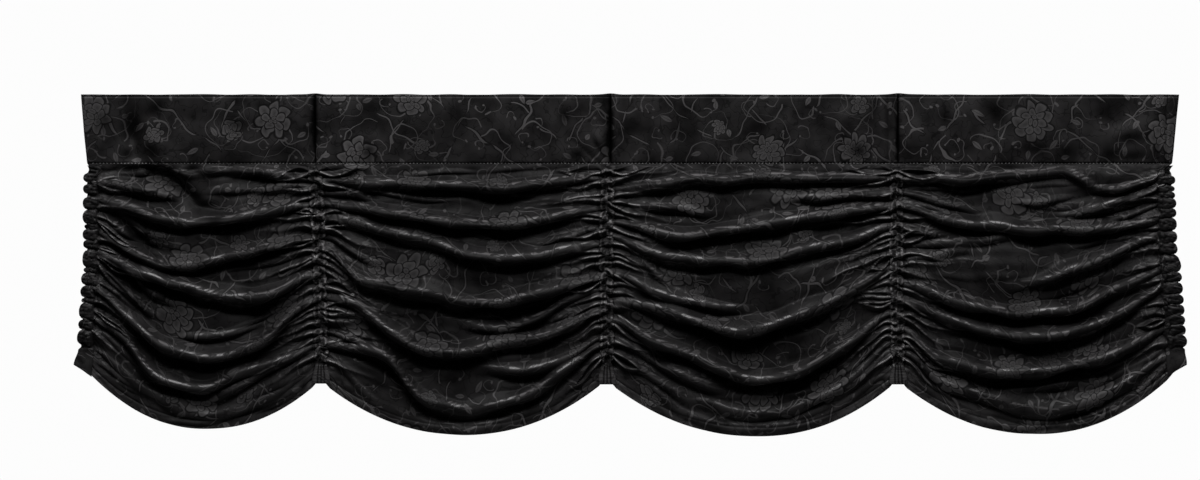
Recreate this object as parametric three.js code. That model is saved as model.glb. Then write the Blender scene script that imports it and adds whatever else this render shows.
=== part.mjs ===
// Scalloped valance: four ruched panels of jacquard under a flat heading, gathered along three seams
// and both sides. Millimetres, +Z up. The origin is the middle of the top edge, the front faces -Y
// and +X runs to the right as seen from the front. A drop is a distance below the top edge.
import * as THREE from "three";

// Driving dimensions
const TOP_WIDTH = 1371.6; // finished width along the top edge, 54 inches
const STITCH_DROP = 86; // the stitch line that closes the rod pocket
const POCKET_SWELL = { front: 2, back: 11 }; // how far the pocket's layers part from their sewn edges
const POCKET_FULLNESS = 0.8; // power of the pocket's lens section: lower is squarer
const CLOTH = 2; // thickness of the sheet
const GAP = 0.3; // between neighbouring pieces, and between layers that are sewn together

// How the cloth hangs
const BELLY = 8; // how far the middle of a panel swings forward
const BELLY_START_DROP = 150; // the belly has its full depth from here down
const RIDGE_SAG_POWER = 2; // a ridge hangs between its seams as a parabola
const TROUGH_SHARE = 0.35; // depth of the trough under a ridge, as a share of the ridge's rise
const BILLOW_SHARE = 0.4; // share of a ridge's rise that spreads out as a soft billow above it
const BILLOW_SPREAD = 2.6; // how much further up the billow reaches than the ridge's own roll
const DROOP = 0.35; // how far a ridge sags down for each millimetre that it stands forward
const SEAM_REACH = 20; // distance from a gathered strip over which the folds grow to their full rise
const FADE = 0.09; // share of a panel's width over which a short fold dies out

// Gathered strips: half the width of a puff, how much narrower the rows between puffs are drawn in,
// how far a puff stands forward, and its section from edge to edge as shares of that
const SEAM_STRIP = { halfWidth: 11, pinch: 2.5, puff: 4.2, section: [0, 1, 0.55, 1, 0] };
const SIDE_STRIP = { halfWidth: 10.5, pinch: 3.5, puff: 5.5, section: [0, 0.85, 1, 0.85, 0] };
const TAB_HEIGHT = 24;
const STRIP_TOP_DROP = STITCH_DROP + 3;

// The lines along which the panels meet or end, left to right: x where each line crosses the drops
// named below, and the drop of its foot.
const HEAD_DROP = 95;
const WAIST_DROP = 205;
const LINES = [
  { top: -TOP_WIDTH / 2, stitch: -678, head: -672, waist: -672, foot: -682, footDrop: 345 },
  { top: -393, stitch: -393, head: -393, waist: -388, foot: -385.5, footDrop: 361 },
  { top: -24, stitch: -24, head: -27.5, waist: -30, foot: -28.5, footDrop: 362 },
  { top: 335, stitch: 335, head: 332.5, waist: 332.5, foot: 335, footDrop: 362 },
  { top: TOP_WIDTH / 2, stitch: 677, head: 667, waist: 669, foot: 681, footDrop: 345 },
];

// Folds of each panel from the top down. left and right are the drops of the ridge at the two seams,
// low is its drop at lowAt, a share of the panel's width; rise is how far it stands forward, above
// and under are the widths of its roll over and below the ridge, and the fold runs from one share
// of the width to another.
const FOLD_COLUMNS = ["left", "lowAt", "low", "right", "rise", "above", "under", "from", "to"];
const FOLDS = [
  [
    [92, 0.5, 95, 108, 6, 8, 5, 0.6, 1],
    [110, 0.3, 117, 118, 8, 11, 6, 0, 0.42],
    [130, 0.41, 155, 138, 13, 12, 6, 0, 1],
    [169, 0.36, 208, 177, 12, 11, 6, 0.28, 1],
    [197, 0.62, 252, 224, 15, 14, 7, 0, 1],
    [238, 0.5, 324, 254, 16, 13, 7, 0, 1],
    [279, 0.5, 364, 313, 9, 10, 6, 0, 1],
    [302, 0.55, 384, 326, 6, 8, 5, 0.45, 1],
    [322, 0.5, 403, 344, 5, 12, 7, 0, 1],
  ],
  [
    [104, 0.52, 109, 103, 13, 10, 6, 0, 1],
    [121, 0.3, 132, 122, 6, 8, 5, 0, 0.35],
    [136, 0.63, 159, 140, 13, 11, 6, 0, 1],
    [155, 0.64, 200, 185, 11, 16, 6, 0, 1],
    [189, 0.54, 255, 227, 15, 12, 7, 0, 1],
    [222, 0.55, 288, 245, 7, 8, 5, 0.4, 1],
    [253, 0.45, 318, 267, 15, 12, 7, 0, 1],
    [293, 0.6, 345, 302, 8, 10, 6, 0.4, 1],
    [315, 0.52, 392, 318, 15, 13, 7, 0, 1],
  ],
  [
    [117, 0.48, 98, 101, 12, 10, 6, 0, 1],
    [139, 0.25, 147, 124, 7, 10, 5, 0, 1],
    [159, 0.25, 172, 141, 14, 12, 6, 0, 1],
    [178, 0.37, 206, 164, 14, 12, 6, 0, 1],
    [222, 0.46, 262, 194, 8, 12, 6, 0, 0.55],
    [257, 0.47, 292, 216, 16, 13, 7, 0, 1],
    [300, 0.51, 353, 272, 15, 12, 7, 0, 1],
    [322, 0.5, 397, 309, 10, 10, 6, 0, 1],
    [340, 0.55, 412, 332, 5, 8, 4, 0.5, 1],
  ],
  [
    [103, 0.55, 96, 97, 11, 8, 6, 0, 0.66],
    [121, 0.6, 146, 112, 8, 14, 6, 0.58, 1],
    [140, 0.57, 167, 132, 14, 11, 6, 0, 1],
    [186, 0.45, 186, 160, 6, 9, 5, 0, 0.45],
    [212, 0.5, 236, 188, 9, 12, 6, 0.42, 1],
    [235, 0.46, 268, 215, 14, 12, 7, 0, 1],
    [257, 0.48, 298, 238, 14, 11, 7, 0, 1],
    [294, 0.49, 344, 292, 14, 12, 7, 0, 1],
    [322, 0.49, 392, 325, 13, 14, 7, 0, 1],
  ],
];
const HEMS = [
  { left: 343, lowAt: 0.52, low: 417, right: 361 },
  { left: 361, lowAt: 0.5, low: 424, right: 362 },
  { left: 362, lowAt: 0.52, low: 426, right: 362 },
  { left: 362, lowAt: 0.5, low: 423, right: 343 },
];

// Puffs of each gathered strip: the drops of the side strips' puffs as they lie, and for the seam
// strips how many there are and how unevenly they are spaced.
const SIDE_PUFFS = {
  left: [104, 117, 131, 151, 173, 189, 206, 230, 247, 260, 273, 288, 303],
  right: [104, 127, 150, 172, 194, 214, 231, 249, 262, 275, 287, 299, 310],
};
const SEAM_PUFFS = [
  { count: 16, uneven: 0.24, start: 0.4 },
  { count: 17, uneven: 0.2, start: 1.7 },
  { count: 16, uneven: 0.26, start: 2.9 },
];
const PUFF_RHYTHM = 2.3; // turn, in radians, from one puff's unevenness to the next

// Where the sheets have vertices: shares of a panel's width between its strips, drops down the
// heading, and places between one ridge and the next as shares of the way.
const PANEL_SHARES = [0, 0.06, 0.14, 0.25, 0.38, 0.5, 0.62, 0.75, 0.86, 0.94, 1];
const HEADING_DROPS = [3, 12, 32, 56, 76];
const ROW_SHARES = { trough: 0.34, billow: 0.6, shoulder: 0.82, firstShoulder: 0.55 };
const TROUGH_WIDTHS = 1.7; // the trough lies this many under-widths below its ridge

const material = new THREE.MeshStandardMaterial({ color: 0x1b1b1d, roughness: 0.42, metalness: 0 });

function smoothstep(low, high, value) {
  return THREE.MathUtils.smoothstep(value, low, high);
}

// x of a panel line at a drop
function lineAt(line, drop) {
  const stops = [
    [0, line.top],
    [STITCH_DROP, line.stitch],
    [HEAD_DROP, line.head],
    [WAIST_DROP, line.waist],
    [line.footDrop, line.foot],
  ];
  const next = stops.findIndex(([stop]) => stop > drop);
  if (next < 0) return line.foot;
  const [above, from] = stops[next - 1];
  const [below, to] = stops[next];
  return THREE.MathUtils.mapLinear(drop, above, below, from, to);
}

// Drop of a ridge or hem at a share of the panel's width
function sagAt({ left, lowAt, low, right }, share) {
  const onLeft = share < lowAt;
  const away = onLeft ? (lowAt - share) / lowAt : (share - lowAt) / (1 - lowAt);
  return low + ((onLeft ? left : right) - low) * away ** RIDGE_SAG_POWER;
}

// A closed sheet on a grid of mid-surface points: rows run down the cloth, columns to the right, and
// the front of the cloth looks along -Y.
function sheet(grid) {
  const rows = grid.length;
  const columns = grid[0].length;
  const front = [];
  const back = [];
  const step = (i, count) => [Math.max(0, i - 1), Math.min(count - 1, i + 1)];
  for (let r = 0; r < rows; r++) {
    for (let c = 0; c < columns; c++) {
      const [up, down] = step(r, rows);
      const [west, east] = step(c, columns);
      const across = new THREE.Vector3().subVectors(grid[r][east], grid[r][west]);
      const along = new THREE.Vector3().subVectors(grid[down][c], grid[up][c]);
      const normal = along.cross(across);
      if (c === 0 || c === columns - 1) normal.x = 0;
      normal.normalize().multiplyScalar(CLOTH / 2);
      front.push(new THREE.Vector3().addVectors(grid[r][c], normal));
      back.push(new THREE.Vector3().subVectors(grid[r][c], normal));
    }
  }
  const points = [...front, ...back];
  const index = [];
  const quad = (a, b, c, d) => index.push(a, b, c, a, c, d);
  const at = (r, c) => r * columns + c;
  const behind = front.length;
  for (let r = 0; r + 1 < rows; r++) {
    for (let c = 0; c + 1 < columns; c++) {
      const [a, b, d, e] = [at(r, c), at(r + 1, c), at(r + 1, c + 1), at(r, c + 1)];
      quad(a, b, d, e);
      quad(a + behind, e + behind, d + behind, b + behind);
    }
  }
  for (let c = 0; c + 1 < columns; c++) {
    quad(at(0, c), at(0, c + 1), at(0, c + 1) + behind, at(0, c) + behind);
    const last = rows - 1;
    quad(at(last, c + 1), at(last, c), at(last, c) + behind, at(last, c + 1) + behind);
  }
  for (let r = 0; r + 1 < rows; r++) {
    quad(at(r + 1, 0), at(r, 0), at(r, 0) + behind, at(r + 1, 0) + behind);
    const end = columns - 1;
    quad(at(r, end), at(r + 1, end), at(r + 1, end) + behind, at(r, end) + behind);
  }
  const geometry = new THREE.BufferGeometry().setFromPoints(points);
  geometry.setIndex(index);
  geometry.computeVertexNormals();
  return geometry;
}

function named(name, geometry) {
  const mesh = new THREE.Mesh(geometry, material);
  mesh.name = name;
  return mesh;
}

const LAYER = (CLOTH + GAP) / 2; // mid plane of a layer that is sewn to another

// Drop of a ridge before it droops. grown runs from 0 at the gathered strips to 1 out on the panel.
function ridgeAt(fold, share, grown) {
  return sagAt(fold, share) - DROOP * fold.rise * grown;
}

// How far forward a panel's belly and its folds stand below the stitch line. middle runs from 0 at the
// gathered strips to 1 half way between them.
function forwardAt(folds, drop, { share, grown, middle }) {
  const belly = BELLY * Math.sin((Math.PI / 2) * middle) * smoothstep(STITCH_DROP, BELLY_START_DROP, drop);
  let folded = 0;
  for (const fold of folds) {
    const starts = fold.from === 0 ? 1 : smoothstep(fold.from - FADE, fold.from + FADE, share);
    const ends = fold.to === 1 ? 1 : 1 - smoothstep(fold.to - FADE, fold.to + FADE, share);
    const below = drop - ridgeAt(fold, share, grown);
    const width = below < 0 ? fold.above : fold.under;
    const roll = Math.exp(-((below / width) ** 2));
    const billow = below < 0 ? Math.exp(-((below / (width * BILLOW_SPREAD)) ** 2)) : roll;
    const trough = Math.exp(-((below / fold.under - TROUGH_WIDTHS) ** 2));
    const shape = roll * (1 - BILLOW_SHARE) + billow * BILLOW_SHARE - TROUGH_SHARE * trough;
    folded += fold.rise * starts * ends * shape * grown;
  }
  return { belly, folded };
}

// Drops of a panel's rows below the stitch line at one of its columns
function swagDrops(folds, hem, { share, grown }) {
  const drops = [];
  let above = STITCH_DROP;
  let trough = 0;
  for (const line of [...folds, { ...hem, rise: 0 }]) {
    const ridge = ridgeAt(line, share, grown);
    const way = ridge - above;
    if (trough > 0) {
      drops.push(above + Math.min(trough, ROW_SHARES.trough * way));
      drops.push(above + ROW_SHARES.billow * way);
    }
    drops.push(above + (trough > 0 ? ROW_SHARES.shoulder : ROW_SHARES.firstShoulder) * way);
    drops.push(ridge);
    above = ridge;
    trough = line.under * TROUGH_WIDTHS;
  }
  return drops;
}

// The heading's two layers as rows of forward distance and drop, from the back layer's end over the
// top fold and down to the stitch line on the front.
function headingRows() {
  const part = (drop) => Math.max(0, Math.sin((Math.PI * drop) / STITCH_DROP)) ** POCKET_FULLNESS;
  const layer = (swell, side) =>
    [...HEADING_DROPS, STITCH_DROP].map((drop) => ({ forward: side * (LAYER + swell * part(drop)), drop }));
  const fold = { forward: 0, drop: CLOTH / 2 };
  return [...layer(POCKET_SWELL.back, -1).reverse(), fold, ...layer(POCKET_SWELL.front, 1)];
}

function panel(number) {
  const folds = FOLDS[number].map((row) =>
    Object.fromEntries(FOLD_COLUMNS.map((column, i) => [column, row[i]])),
  );
  const [west, east] = [LINES[number], LINES[number + 1]];
  const westStrip = number === 0 ? SIDE_STRIP : SEAM_STRIP;
  const eastStrip = number === FOLDS.length - 1 ? SIDE_STRIP : SEAM_STRIP;
  const columns = [null, ...PANEL_SHARES, null];
  const lastColumn = columns.length - 1;

  // x of a column at a drop, and how far it lies in from the gathered strips
  const placeAt = (column, drop) => {
    const left = lineAt(west, drop) + (number === 0 ? 0 : GAP / 2);
    const right = lineAt(east, drop) - (number === FOLDS.length - 1 ? 0 : GAP / 2);
    const start = left + westStrip.halfWidth + CLOTH;
    const end = right - eastStrip.halfWidth - CLOTH;
    const inner = columns[column] ?? (column === 0 ? 0 : 1);
    const edge = column === 0 ? left : right;
    const x = columns[column] === null ? edge : THREE.MathUtils.lerp(start, end, inner);
    const clear = Math.min(inner, 1 - inner) * (end - start);
    const grown = 1 - Math.exp(-clear / SEAM_REACH);
    return { x, share: (x - left) / (right - left), grown, middle: 1 - Math.abs(2 * inner - 1) };
  };

  const heading = headingRows().map(({ forward, drop }) =>
    columns.map((_, c) => new THREE.Vector3(placeAt(c, drop).x, -forward, -drop)),
  );
  const swag = columns.map((_, c) => {
    const place = placeAt(c, HEAD_DROP);
    return swagDrops(folds, HEMS[number], place).map((drop) => {
      const { belly, folded } = forwardAt(folds, drop, place);
      return new THREE.Vector3(placeAt(c, drop).x, -LAYER - belly - folded, -drop - DROOP * folded);
    });
  });
  const rows = swag[0].map((_, r) => columns.map((_, c) => swag[c][r]));
  return named("panel_" + (number + 1), sheet([...heading, ...rows]));
}

// A gathered strip that lies on the panels along a line. Each puff is a crest between two rows that
// are drawn in, and the foot ends in a flat tab.
function gatheredStrip(name, line, puffDrops, strip) {
  const seat = LAYER + CLOTH + GAP;
  const drawnIn = strip.halfWidth - strip.pinch;
  const rows = [{ drop: STRIP_TOP_DROP, half: drawnIn, swell: 0 }];
  puffDrops.forEach((drop, i) => {
    rows.push({ drop, half: strip.halfWidth, swell: strip.puff });
    if (i + 1 < puffDrops.length) rows.push({ drop: (drop + puffDrops[i + 1]) / 2, half: drawnIn, swell: 0 });
  });
  rows.push({ drop: line.footDrop - TAB_HEIGHT, half: strip.halfWidth, swell: 0 });
  rows.push({ drop: line.footDrop, half: strip.halfWidth, swell: 0 });
  const edgeToEdge = strip.section.length - 1;
  const grid = rows.map(({ drop, half, swell }) =>
    strip.section.map((share, i) => {
      const x = lineAt(line, drop) + half * ((2 * i) / edgeToEdge - 1);
      return new THREE.Vector3(x, -seat - swell * share, -drop);
    }),
  );
  return named(name, sheet(grid));
}

// Evenly counted puffs of a seam strip, each shifted a little
function seamPuffDrops(line, { count, uneven, start }) {
  const pitch = (line.footDrop - TAB_HEIGHT - STRIP_TOP_DROP) / count;
  return Array.from({ length: count }, (_, i) => {
    const shift = uneven * Math.sin(start + PUFF_RHYTHM * i);
    return STRIP_TOP_DROP + pitch * (i + 0.5 + shift);
  });
}

const valance = new THREE.Group();
FOLDS.forEach((_, number) => valance.add(panel(number)));
SEAM_PUFFS.forEach((puffs, i) => {
  const line = LINES[i + 1];
  valance.add(gatheredStrip("seam_gather_" + (i + 1), line, seamPuffDrops(line, puffs), SEAM_STRIP));
});
valance.add(gatheredStrip("side_gather_left", LINES[0], SIDE_PUFFS.left, SIDE_STRIP));
valance.add(gatheredStrip("side_gather_right", LINES[LINES.length - 1], SIDE_PUFFS.right, SIDE_STRIP));

export default valance;
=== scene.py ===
"""Scalloped valance in black floral jacquard: four swagged panels that hang from a flat rod pocket
heading, with gathered strips over the seams and down the sides. Sizes are in millimetres, "drop" is the
distance below the top edge, and the meshes are made in metres."""
import math
import random
from collections import namedtuple

import bmesh
import bpy
import numpy as np
from mathutils import Euler, Matrix, Vector


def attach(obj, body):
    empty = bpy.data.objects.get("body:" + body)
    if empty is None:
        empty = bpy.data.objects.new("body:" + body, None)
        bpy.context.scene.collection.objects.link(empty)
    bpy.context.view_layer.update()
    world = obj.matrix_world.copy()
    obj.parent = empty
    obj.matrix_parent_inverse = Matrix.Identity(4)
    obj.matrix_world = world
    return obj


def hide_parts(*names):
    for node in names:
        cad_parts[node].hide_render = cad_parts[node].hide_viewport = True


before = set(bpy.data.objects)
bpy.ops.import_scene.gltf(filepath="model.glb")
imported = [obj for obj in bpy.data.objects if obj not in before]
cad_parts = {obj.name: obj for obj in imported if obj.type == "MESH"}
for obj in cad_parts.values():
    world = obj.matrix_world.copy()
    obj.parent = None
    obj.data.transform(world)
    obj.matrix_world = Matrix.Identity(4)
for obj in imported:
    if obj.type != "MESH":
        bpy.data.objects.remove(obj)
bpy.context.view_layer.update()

MM = 0.001

# Driving sizes of the heading and the panels
STITCH_DROP = 86
POCKET_SWELL_FRONT = 2
POCKET_SWELL_BACK = 11
POCKET_FULLNESS = 0.8
LAYER = 1.15
CLOTH = 0.8
BELLY = 6
BELLY_END_DROP = 230
HEM_POWER = 2.15
HEM_DEPTH = 11
# Painted light along the hem
HEM_PAINTED_LIGHT = 0.35
HEM_GROOVE = 0.9
HEM_RISE = 0.6
STITCH_GROOVE = 1.3
SEAM_PEAK = 1.3
SETTLE = 9
WRINKLE = 0.5
CRUMPLE = 0.7

# Section of a drooping roll: cloth leans out of the valley above, rounds over a tube and turns back under it
DROOP = 0.18
RISE_SHARE = 1.12
RIDGE_SHIFT = -0.12
TUBE_SHARE = 0.95
RAMP_SHARE = 2.4
UNDER_SHARE = 1.45
LEAN_LEVEL = (0.03, 0.26)
LEAN_POWER = 1.5
TURN_SOFTNESS = 0.06
TROUGH_SHARE = 0.5
TROUGH_WIDTHS = 1.3
TROUGH_SPREAD = 0.78
MEETING_POWER = 3
# Painted highlight along each roll: how far above its crest, how wide, how strong, and the rise at which it
# is full
CREST_LIFT = 4.5
CREST_WIDTH = 0.95
CREST_SHARE = 1.45
CREST_RISE = 9
# Painted shade in the hollows under the rolls and in the valleys
TROUGH_SHADE = 0.45
VALLEY_SHADE = 0.75
VALLEY_CROOK = 1.4
SAG_SWAY = 1.2
HEM_FADE = (8, 66)
MINOR_FOLDS = 16
MINOR_HALF_LENGTH = (18, 60)
MINOR_RISE = (1.5, 4)
MINOR_TUBE = (5, 9)
MINOR_ROOM = (14, 30)
FOLD_END = 24
MOST_FORWARD = (17, 8)

# Unevenness along a fold of its sag, its rise, its tube and its underside: swings, start and seed
FOLD_WAVES = [(5, 0.0, 100), (3, 0.3, 300), (4, 0.7, 500), (5, 0.9, 700)]

# How the folds are drawn up into the seams
SEAM_HALF_WIDTH = 11
SIDE_HALF_WIDTH = 10.5
CORE_HALF_WIDTH = 4
SIDE_CORE = 8
SEAM_REACH = 6
SEAM_SHARE = 0.07
STRIP_TUCK = 13
DRAWN_IN = 70

# Mesh fineness. The heading's rows are runs of drops: begin, end and count.
EDGE_STEP = 2.2
MIDDLE_STEP = 5.6
FINE_EDGE = (30, 90)
COLUMN_STEPS = 2000
PATH_STEPS = 160
PATH_SOFTENING = 4
HEADING_ROWS = [(0.6, 6, 9), (8.5, 78, 25), (79.5, 85.4, 9)]
SWAG_ROWS = 440
ROW_SOFTENING = 5
PROFILE_STEPS = 1000
BACK_ROWS = 10
TOP_ROWS = 5

# Seeds of the other random unevenness
FOLD_SEED = 1000
MINOR_SEED = 800
VALLEY_SEED = 900
PLEAT_SEED = 60
FAN_SEED = 40
SWAY_SEED = 140
GROOVE_SEED = 50
TOP_SEED = 5
BACK_SEED = 21
WRINKLE_SEED = 90
CRUMPLE_SEED = 110
PUCKER_SEED = 70
SEAM_STRIP_SEED = 200
SIDE_STRIP_SEED = 400
STITCH_SEED = 33

# Seam and side lines: places across at the top, the stitch line, the head, the waist and the foot
LINE_DROPS = [0, STITCH_DROP, 95, 205]
Line = namedtuple("Line", "places foot_drop")
LINES = [
    Line([-685.8, -678, -672, -672, -682], 345),
    Line([-393, -393, -393, -388, -385.5], 361),
    Line([-24, -24, -27.5, -30, -28.5], 362),
    Line([335, 335, 332.5, 332.5, 335], 362),
    Line([685.8, 677, 667, 669, 681], 345),
]
Hem = namedtuple("Hem", "left low_at low right")
HEMS = [
    Hem(352, 0.52, 417.5, 366),
    Hem(367, 0.50, 425, 364.5),
    Hem(367, 0.52, 427, 366),
    Hem(367, 0.50, 424, 357),
]
LAST_PANEL = len(HEMS) - 1
SIDES = (0, len(LINES) - 1)

# Creases of each panel: how far the ridge rises, its spread above and under, and its path as places
# across and drops. A negative rise is a valley, as wide as the two spreads at its beginning and end.
Fold = namedtuple("Fold", "rise above under path")
FOLDS = [
    [
        Fold(10, 8, 6, [(-665, 108), (-631, 111), (-600, 116), (-569, 123)]),
        Fold(-13, 16, 11, [(-622, 90), (-590, 97), (-562, 115), (-533, 145)]),
        Fold(6, 4, 4, [(-626, 99), (-606, 95), (-588, 99)]),
        Fold(6, 4, 4, [(-594, 97), (-570, 94), (-548, 101)]),
        Fold(5, 4, 4, [(-530, 97), (-506, 94), (-490, 98)]),
        Fold(8, 8, 5, [(-497, 94), (-462, 96), (-431, 99), (-397, 108)]),
        Fold(6, 6, 5, [(-465, 117), (-431, 112), (-397, 114)]),
        Fold(14, 12, 6, [(-665, 129), (-625, 139), (-587, 151), (-556, 156), (-500, 152), (-450, 144),
                         (-397, 137)]),
        Fold(-10, 6, 10, [(-642, 150), (-622, 168), (-602, 188), (-588, 194)]),
        Fold(13, 11, 6, [(-665, 168), (-637, 186), (-581, 211), (-537, 208), (-475, 194), (-397, 177)]),
        Fold(16, 14, 7, [(-665, 196), (-612, 218), (-537, 242), (-494, 252), (-444, 243), (-397, 223)]),
        Fold(6, 6, 5, [(-657, 216), (-622, 249), (-600, 272)]),
        Fold(5, 6, 5, [(-635, 212), (-594, 248), (-569, 259)]),
        Fold(16, 13, 7, [(-665, 238), (-631, 273), (-594, 303), (-531, 324), (-456, 304), (-419, 269),
                         (-397, 254)]),
        Fold(5, 6, 4, [(-562, 304), (-525, 302), (-494, 299), (-465, 287)]),
        Fold(11, 11, 6, [(-665, 278), (-625, 309), (-600, 341), (-531, 364), (-475, 344), (-412, 322),
                         (-397, 313)]),
        Fold(7, 8, 5, [(-531, 384), (-475, 357), (-397, 319)]),
        Fold(6, 10, 6, [(-665, 318), (-600, 372), (-531, 401), (-462, 384), (-397, 344)]),
    ],
    [
        Fold(11, 8, 6, [(-372, 106), (-287, 109), (-200, 112), (-125, 110), (-42, 104)]),
        Fold(6, 6, 5, [(-347, 114), (-325, 113), (-306, 118)]),
        Fold(5, 6, 5, [(-370, 123), (-347, 122), (-315, 134)]),
        Fold(14, 11, 6, [(-372, 136), (-287, 147), (-212, 156), (-162, 159), (-100, 152), (-42, 141)]),
        Fold(13, 16, 6, [(-372, 153), (-325, 163), (-262, 178), (-212, 192), (-156, 201), (-100, 196),
                         (-42, 186)]),
        Fold(5, 6, 5, [(-106, 183), (-69, 174), (-40, 164)]),
        Fold(5, 6, 5, [(-372, 177), (-350, 194), (-317, 209)]),
        Fold(15, 12, 7, [(-372, 189), (-356, 212), (-287, 236), (-237, 248), (-194, 256), (-112, 244),
                         (-75, 236), (-42, 227)]),
        Fold(7, 8, 5, [(-212, 284), (-175, 291), (-112, 277), (-75, 254), (-42, 243)]),
        Fold(15, 12, 7, [(-372, 253), (-337, 261), (-300, 292), (-275, 307), (-225, 318), (-150, 304),
                         (-87, 292), (-62, 279), (-42, 267)]),
        Fold(4, 6, 5, [(-315, 312), (-300, 329), (-285, 348)]),
        Fold(7, 9, 5, [(-175, 344), (-137, 342), (-87, 334), (-42, 304)]),
        Fold(6, 8, 5, [(-372, 296), (-344, 307), (-315, 322)]),
        Fold(15, 13, 7, [(-372, 313), (-337, 316), (-300, 326), (-275, 363), (-231, 386), (-200, 392),
                         (-137, 376), (-87, 347), (-42, 313)]),
        Fold(5, 9, 6, [(-372, 322), (-337, 367), (-275, 404), (-210, 416), (-137, 402), (-81, 369),
                       (-42, 322)]),
    ],
    [
        Fold(11, 8, 6, [(-15, 117), (37, 109), (87, 104), (144, 101), (212, 102), (321, 103)]),
        Fold(6, 8, 5, [(12, 141), (56, 139), (90, 149)]),
        Fold(6, 8, 5, [(206, 129), (262, 126), (321, 121)]),
        Fold(16, 12, 6, [(-15, 159), (25, 168), (62, 172), (125, 166), (187, 156), (262, 146), (321, 139)]),
        Fold(14, 12, 6, [(-15, 176), (12, 191), (62, 202), (106, 206), (162, 202), (212, 193),
                         (287, 177), (321, 164)]),
        Fold(6, 7, 5, [(16, 204), (44, 236), (62, 248)]),
        Fold(9, 11, 6, [(-15, 222), (37, 247), (87, 259), (137, 267)]),
        Fold(16, 14, 7, [(-15, 257), (62, 272), (106, 286), (140, 292), (187, 279), (262, 249),
                         (300, 229), (321, 214)]),
        Fold(15, 12, 7, [(-15, 279), (19, 301), (50, 313), (100, 334), (156, 353), (212, 339),
                         (262, 313), (306, 284), (321, 272)]),
        Fold(6, 8, 5, [(-15, 301), (25, 329), (81, 357), (112, 367)]),
        Fold(5, 8, 5, [(-15, 322), (37, 359), (75, 388)]),
        Fold(9, 10, 6, [(87, 383), (106, 388), (150, 399), (237, 378), (287, 347), (321, 309)]),
        Fold(5, 8, 5, [(256, 382), (287, 354), (321, 319)]),
        Fold(5, 8, 5, [(12, 351), (62, 394), (156, 417), (250, 397), (312, 351)]),
    ],
    [
        Fold(10, 7, 6, [(349, 103), (400, 103), (462, 100), (531, 95), (547, 94)]),
        Fold(9, 6, 5, [(546, 94), (562, 103), (584, 117)]),
        Fold(9, 8, 5, [(578, 118), (620, 114), (666, 101)]),
        Fold(8, 10, 6, [(540, 152), (603, 134), (666, 114)]),
        Fold(5, 6, 5, [(349, 123), (387, 133), (425, 144)]),
        Fold(4, 5, 4, [(349, 133), (381, 142), (412, 148)]),
        Fold(14, 11, 6, [(349, 138), (387, 152), (462, 163), (525, 165), (606, 164), (640, 160),
                         (666, 153)]),
        Fold(6, 8, 5, [(592, 156), (630, 146), (666, 134)]),
        Fold(5, 6, 5, [(349, 162), (369, 169), (387, 177)]),
        Fold(5, 7, 5, [(349, 188), (412, 183), (475, 176)]),
        Fold(5, 6, 5, [(349, 204), (387, 198), (431, 192)]),
        Fold(12, 12, 6, [(500, 238), (562, 210), (594, 199), (640, 182), (666, 173)]),
        Fold(14, 12, 7, [(349, 236), (412, 257), (487, 268), (575, 256), (612, 239), (666, 216)]),
        Fold(14, 11, 7, [(349, 257), (387, 274), (437, 291), (494, 298), (587, 283), (637, 257),
                         (666, 238)]),
        Fold(14, 12, 7, [(349, 294), (369, 319), (412, 332), (500, 344), (587, 324), (637, 307),
                         (666, 292)]),
        Fold(4, 6, 4, [(475, 367), (519, 364), (560, 358)]),
        Fold(13, 14, 7, [(349, 322), (375, 347), (437, 374), (500, 392), (587, 378), (637, 348),
                         (666, 329)]),
        Fold(4, 7, 5, [(375, 382), (406, 396), (431, 402)]),
        Fold(5, 7, 5, [(615, 388), (644, 363), (670, 338)]),
        Fold(4, 8, 5, [(356, 357), (425, 404), (506, 414), (587, 399), (650, 363)]),
    ],
]

# Soft billows between the creases: middle across and drop, half width, half height, rise
Pillow = namedtuple("Pillow", "across drop half_width half_height rise")
PILLOWS = [
    [],
    [Pillow(-231, 217, 88, 38, 6), Pillow(-137, 328, 62, 14, 4)],
    [Pillow(150, 136, 69, 22, 4), Pillow(206, 236, 106, 30, 6), Pillow(227, 307, 62, 20, 4)],
    [Pillow(610, 103, 47, 17, 7), Pillow(515, 129, 32, 19, 5), Pillow(475, 219, 88, 32, 7)],
]

# Dents pressed into the heading, or swells where the depth is negative
Dent = namedtuple("Dent", "across drop depth half_width half_height lean")
DENTS = [
    Dent(-655, 50, 2.2, 12, 22, 0),
    Dent(-622, 60, 12, 13, 40, 0.1),
    Dent(-598, 28, 5, 13, 16, -0.4),
    Dent(-628, 67, -5, 9, 10, 0),
    Dent(-598, 60, -5, 8, 12, 0.2),
    Dent(-486, 48, 2.5, 22, 18, 0.3),
    Dent(-430, 60, -1.8, 18, 14, 0),
    Dent(-330, 28, 2, 16, 15, 0),
    Dent(-326, 62, -2.6, 9, 13, 0),
    Dent(-230, 50, 1.6, 40, 22, 0),
    Dent(-81, 40, 3, 10, 24, 0.1),
    Dent(-62, 66, -2.6, 14, 13, -0.6),
    Dent(-52, 74, 3.4, 4, 13, 1),
    Dent(-37, 72, 3.6, 4, 16, 0.5),
    Dent(60, 60, 1.6, 30, 20, 0.3),
    Dent(130, 38, 1.5, 30, 20, -0.3),
    Dent(286, 62, -2.8, 10, 12, 0),
    Dent(305, 40, 2, 8, 30, 0),
    Dent(396, 44, 3, 10, 24, 0.1),
    Dent(465, 40, 3, 12, 24, 0.5),
    Dent(508, 58, -3.2, 12, 13, 0.2),
    Dent(544, 62, -3.2, 10, 12, 0.2),
    Dent(593, 30, 2.2, 12, 12, 0),
    Dent(600, 66, -2.6, 14, 11, 0),
    Dent(624, 46, -3.6, 22, 11, -0.5),
    Dent(628, 70, -2.6, 16, 9, 0),
    Dent(656, 58, -2.2, 8, 20, 0),
]
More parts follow.
